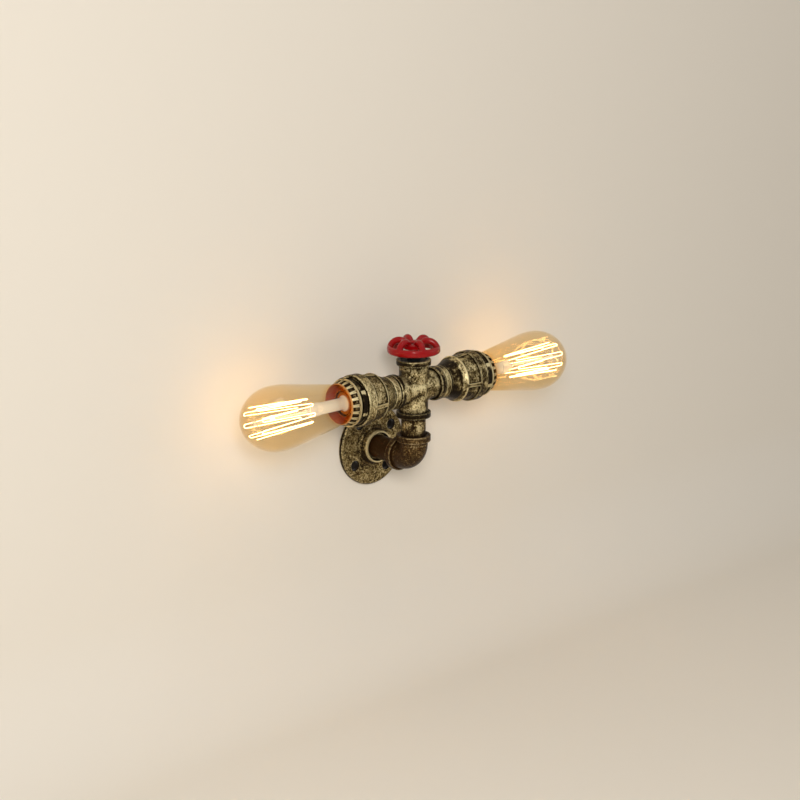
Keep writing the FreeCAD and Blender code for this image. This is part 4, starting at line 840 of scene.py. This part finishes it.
class SCONCE_OT_lamps(Operator):
    """Blow the glass, thread the caps and string the filaments"""

    bl_idname = "sconce.lamps"
    bl_label = "Lamps"

    def execute(self, context):
        sizes = context.scene.sconce_lamp
        looks = finishes()
        glass = blown_glass("lamp_glass", looks.glass, looks.neck)
        stem = frosted_glass("stem_glass", looks.stem, looks.moulding_and_glow, looks.stem_glow)
        cap = drawn_metal("cap_metal", looks.cap_metal, 0.25)
        wires = drawn_metal("support_wire", looks.steel)
        kinds = (
            ("glass", "bulb_glass", "bulb_glass", self.glass, glass),
            ("stem", "bulb_stem", "stem_glass", self.stem, stem),
            ("cap", "bulb_cap", "cap_metal", self.cap, cap),
            ("glow_wire", "filament", "filament", self.filament, glowing("filament_glow")),
            ("hooks", "support_wires", "small_steel", self.hooks, wires),
        )
        for side_name, side in SIDES:
            place = arm_matrix(side, LAMP_FOOT)
            for piece, node, slot, make, material in kinds:
                add_object("%s_%s" % (piece, side_name), make(sizes, place), material, "lamp_" + side_name,
                           ["%s_%s" % (node, side_name)])
        dress(moulded("cap_black_glass", looks.plug_black, 0.15), *both("cap_insulator"))
        dress(drawn_metal("cap_contact_metal", looks.brass, 0.35), *both("cap_contact"))
        return {"FINISHED"}

    def outline(self, sizes, inset):
        """Half the glass from its foot to its tip, moved inwards by inset."""
        joint = sizes.cap
        belly = sizes.belly / 2
        belly_z = joint + sizes.glass - sizes.dome
        tip = sizes.tip
        rise = sizes.dome - tip
        shoulder = (belly ** 2 + rise ** 2 - tip ** 2) / (2 * (belly - tip))
        meet = ((tip - inset) * (shoulder - belly) / (shoulder - tip),
                belly_z + rise + (tip - inset) * rise / (shoulder - tip))
        foot = sizes.cap_diameter / 2 - sizes.cap_wall - 0.1 * MM - inset
        points = [(foot, joint - sizes.inside_cap), (foot, joint + inset),
                  (sizes.neck / 2 - inset, joint + inset)]
        points += arc(points[-1], (sizes.shoulder / 2 - inset, joint + sizes.neck_length), sizes.swell)
        points.append((sizes.taper_end / 2 - inset, belly_z - sizes.taper_gap))
        points += arc(points[-1], (belly - inset, belly_z), sizes.taper_round, 6)
        points += arc(points[-1], meet, shoulder - inset, 14)
        points += arc(points[-1], (0, joint + sizes.glass - inset), tip - inset, 14)
        return points

    def glass(self, sizes, place):
        outside = self.outline(sizes, 0.0)
        inside = self.outline(sizes, sizes.wall)
        return lathe("lamp_glass", outside + inside[::-1], place, 128)

    def cap(self, sizes, place):
        """Rolled thread outside, a plain bore inside."""
        crest = sizes.cap_diameter / 2
        bore = crest - sizes.thread - sizes.cap_wall
        foot = sizes.cap_foot_diameter / 2
        low = sizes.cap_foot + sizes.cap_taper
        high = sizes.cap - sizes.skirt - sizes.thread

        def thread(turn, radius, height):
            if radius < crest - 1e-7 or not low <= height <= high:
                return radius
            fade = min(1.0, (height - low) / sizes.pitch * 2, (high - height) / sizes.pitch * 2)
            wave = 0.5 + 0.5 * math.cos(math.tau * height / sizes.pitch - turn)
            return radius - sizes.thread * wave * fade

        steps = 60
        skirt = sizes.skirt_diameter / 2
        outside = [(foot - sizes.cap_wall, sizes.cap_foot), (foot, sizes.cap_foot)]
        outside += [(crest, low + (high - low) * k / steps) for k in range(steps + 1)]
        outside += [(crest, sizes.cap - sizes.skirt), (skirt, sizes.cap - sizes.skirt), (skirt, sizes.cap)]
        inside = [(crest - sizes.cap_wall, sizes.cap), (crest - sizes.cap_wall, sizes.cap - 2 * sizes.skirt),
                  (bore, sizes.cap - 2.2 * sizes.skirt), (bore, low + sizes.cap_wall)]
        return lathe("lamp_cap", outside + inside, place, 96, True, thread)

    def stem(self, sizes, place):
        """Flared foot, tube, flattened press, and the rod with a bead at each ring of hooks."""
        foot = sizes.cap - sizes.stem_sink
        end = sizes.cap + sizes.stem
        press = end - sizes.press_length
        tube = sizes.stem_diameter / 2
        half = sizes.press_width / 2, sizes.press_thickness / 2
        rod = sizes.rod / 2
        blend = sizes.press_length / 2

        def flatten(turn, radius, height):
            share = max(0.0, min(1.0, (height - press + blend) / blend))
            if height > end or share == 0:
                return radius
            a, b = tube + (half[0] - tube) * share, tube + (half[1] - tube) * share
            return radius / math.hypot(math.cos(turn) / a, math.sin(turn) / b) / tube

        flare = sizes.stem_flare / 2
        sweep = flare - tube
        profile = [(0, foot), (flare, foot), (flare, foot + sizes.stem_foot)]
        profile += [(tube + sweep * (1 - math.sin(a)), foot + sizes.stem_foot + sweep * (1 - math.cos(a)))
                    for a in (math.pi / 2 * k / 8 for k in range(1, 9))]
        profile += [(tube, press - blend + (sizes.press_length + blend) * k / 12) for k in range(13)]
        profile += [(rod, end + 0.4 * MM)]
        for height, last in ((sizes.cap + sizes.cage_start, 60), (sizes.cap + sizes.cage_end, 90)):
            turns = [math.radians(-60 + (last + 60) * k / 8) for k in range(9)]
            profile += [(sizes.rod * math.cos(a), height + sizes.rod * math.sin(a)) for a in turns]
        return lathe("lamp_stem", profile, place, 64, False, flatten, 60)

    def strand_end(self, sizes, index, upper):
        step = math.tau / sizes.strands
        towards = 1 if (index % 2 == 0) == upper else -1
        ring = (sizes.cage_end_diameter if upper else sizes.cage_start_diameter) / 2
        height = sizes.cap + (sizes.cage_end if upper else sizes.cage_start)
        return around(ring, math.pi / 2 + step * (index + 0.5 + 0.5 * towards * sizes.pinch), height)

    def filament(self, sizes, place):
        """One wire that runs up and down the cage with a round turn at each hook."""
        line = []
        for index in range(sizes.strands):
            upper = index % 2 == 0
            line.append(self.strand_end(sizes, index, not upper))
            end = self.strand_end(sizes, index, upper)
            if index == sizes.strands - 1:
                line.append(end)
                continue
            other = self.strand_end(sizes, index + 1, upper)
            middle = (end + other) / 2
            bulge = Vector((0, 0, (end - other).length / 2 * (1 if upper else -1)))
            line += [middle + (end - middle) * math.cos(a) + bulge * math.sin(a)
                     for a in (math.pi * k / 8 for k in range(9))]
        return wire("filament", [line], sizes.filament, place)

    def hooks(self, sizes, place):
        """Hooks that lean out from the rod's beads, and the two wires that feed the filament."""
        lines = []
        for index in range(sizes.strands - 1):
            upper = index % 2 == 0
            middle = (self.strand_end(sizes, index, upper) + self.strand_end(sizes, index + 1, upper)) / 2
            reach = math.hypot(middle.x, middle.y)
            turn = math.atan2(middle.y, middle.x)
            lift = sizes.hook_lift * (1 if upper else -1)
            lines.append([around(sizes.rod, turn, middle.z), around(reach * 0.7, turn, middle.z),
                          around(reach, turn, middle.z + lift)])
        press = sizes.cap + sizes.stem
        for across, index in ((-1, 0), (1, sizes.strands - 1)):
            foot = Vector((across * sizes.feed_spread / 2, 0, press - 1 * MM))
            knee = Vector((foot.x, 0, press + sizes.feed_rise))
            lines.append([foot, knee, self.strand_end(sizes, index, False)])
        return wire("support_wires", lines, sizes.wire, place, 2)


class SCONCE_OT_stage(Operator):
    """Set the plain wall and floor, the soft lights, the sky and the camera"""

    bl_idname = "sconce.stage"
    bl_label = "Stage"

    def execute(self, context):
        stage = context.scene.sconce_stage
        self.backdrop(stage)
        self.sky(context.scene, stage)
        for name, size, spot in LIGHTS:
            self.light(name + "_light", getattr(stage, name), size, spot)
        self.camera(context.scene, stage)
        context.scene.view_settings.view_transform = "Standard"
        return {"FINISHED"}

    def backdrop(self, stage):
        """A wall that meets the floor in a wide curve; both vanish when seen from behind."""
        wall, bend = stage.wall, stage.cove
        points = [(wall, stage.reach / 2), (wall, stage.floor + bend)]
        points += [(wall - bend * (1 - math.cos(a)), stage.floor + bend * (1 - math.sin(a)))
                   for a in (math.pi / 2 * k / 16 for k in range(1, 17))]
        points.append((-stage.reach, stage.floor))
        bm = bmesh.new()
        edges = [[bm.verts.new((x, y, z)) for y, z in points] for x in (-stage.reach, stage.reach)]
        for k in range(len(points) - 1):
            bm.faces.new((edges[0][k], edges[0][k + 1], edges[1][k + 1], edges[1][k]))
        mesh = finished_mesh("backdrop", bm, Matrix.Identity(4), 180)
        add_object("backdrop", mesh, self.paper(finishes().stage, stage.wall_box / 2))
        # Painted shade behind the flange's screw holes, in the patina colour and seen only by the camera
        add_object("drill_holes", self.drill_holes(stage),
                            self.paper(finishes().patina, seen_only=True))

    def drill_holes(self, stage):
        """Painted shade: dark discs on the wall behind the flange's four holes."""
        bm = bmesh.new()
        for spot in screw_spots():
            bmesh.ops.create_circle(bm, cap_ends=True, segments=32, radius=stage.hole_shade / 2,
                                    matrix=Matrix.Translation(spot))
        upright = Matrix.Translation((0, stage.wall / 2, 0)) @ Matrix.Rotation(math.pi / 2, 4, "X")
        return finished_mesh("drill_holes", bm, upright)

    def paper(self, tint, gap=0.0, seen_only=False):
        """Matt paper, seen from its front only, with a round hole behind the flange of radius gap.

        seen_only leaves it to the camera's rays, so that it keeps no light off the flange's back.
        """
        g = material_graph("stage_paper")
        cloud = g.noise(300 * MM, 2.0)
        front = g.principled({"Base Color": g.mix(cloud * 0.3, tint, Vector(tint) * 0.97), "Roughness": 0.9})
        behind = g.node("ShaderNodeNewGeometry", output="Backfacing")
        if gap:
            behind = behind + (1 - behind) * (1 - g.distance((0, 0, 0)).above(gap - 1 * MM, gap))
        if seen_only:
            behind = 1 - (1 - behind) * g.node("ShaderNodeLightPath", output="Is Camera Ray")
        return g.finish(g.blend(behind, front, g.clear()))

    def sky(self, scene, stage):
        """Even light, brighter where it is seen directly, mirrored or through glass."""
        scene.world = scene.world or bpy.data.worlds.new("sky")
        g = Graph(scene.world)
        seen = sum(g.node("ShaderNodeLightPath", output=ray)
                   for ray in ("Is Camera Ray", "Is Glossy Ray", "Is Transmission Ray"))
        strength = g.node("ShaderNodeMapRange", (), {"Value": seen, "To Min": stage.sky, "To Max": stage.air})
        light = g.node("ShaderNodeBackground", (), {"Color": (1.0, 0.985, 0.96, 1), "Strength": strength})
        g.node("ShaderNodeOutputWorld", (), {"Surface": light})

    def set_up(self, name, data, spot, ahead):
        """Links a light or a camera that looks ahead from a spot."""
        made = bpy.data.objects.new(name, data)
        bpy.context.scene.collection.objects.link(made)
        made.location = spot
        made.rotation_euler = ahead.to_track_quat("-Z", "Y").to_euler()
        return made

    def light(self, name, power, size, spot):
        data = bpy.data.lights.new(name, "AREA")
        data.energy = power
        data.size = size
        data.color = (1.0, 0.96, 0.90)
        self.set_up(name, data, spot, Vector(CROSS_CENTRE) - Vector(spot))

    def camera(self, scene, stage):
        data = bpy.data.cameras.new("view")
        data.sensor_width = 36
        data.lens = stage.lens
        level = math.cos(stage.pitch)
        ahead = Vector((math.sin(stage.yaw) * level, math.cos(stage.yaw) * level, -math.sin(stage.pitch)))
        scene.camera = self.set_up("view", data, Vector(stage.aim) - ahead * stage.distance, ahead)


class SCONCE_PT_panel(Panel):
    """Sizes, colours and steps of the sconce"""

    bl_idname = "SCONCE_PT_panel"
    bl_label = "Pipe Wall Sconce"
    bl_space_type = "VIEW_3D"
    bl_region_type = "UI"
    bl_category = "Sconce"

    def draw(self, context):
        for group, kind in GROUPS:
            box = self.layout.box()
            box.label(text=kind.__doc__)
            for name in kind.__annotations__:
                box.prop(getattr(context.scene, group), name)
        for step in STEPS:
            self.layout.operator(step.bl_idname)


GROUPS = (("sconce_finishes", SconceFinishes), ("sconce_wheel", SconceWheel), ("sconce_lamp", SconceLamp),
          ("sconce_stage", SconceStage))
STEPS = (SCONCE_OT_pipework, SCONCE_OT_handwheel, SCONCE_OT_lampholders, SCONCE_OT_lamps, SCONCE_OT_stage)
CLASSES = tuple(kind for group, kind in GROUPS) + STEPS + (SCONCE_PT_panel,)


def register():
    for kind in CLASSES:
        bpy.utils.register_class(kind)
    for group, kind in GROUPS:
        setattr(bpy.types.Scene, group, PointerProperty(type=kind))


def unregister():
    for group, kind in GROUPS:
        delattr(bpy.types.Scene, group)
    for kind in reversed(CLASSES):
        bpy.utils.unregister_class(kind)


def main():
    register()
    for step in STEPS:
        area, name = step.bl_idname.split(".")
        getattr(getattr(bpy.ops, area), name)()


if __name__ == "__main__":
    main()
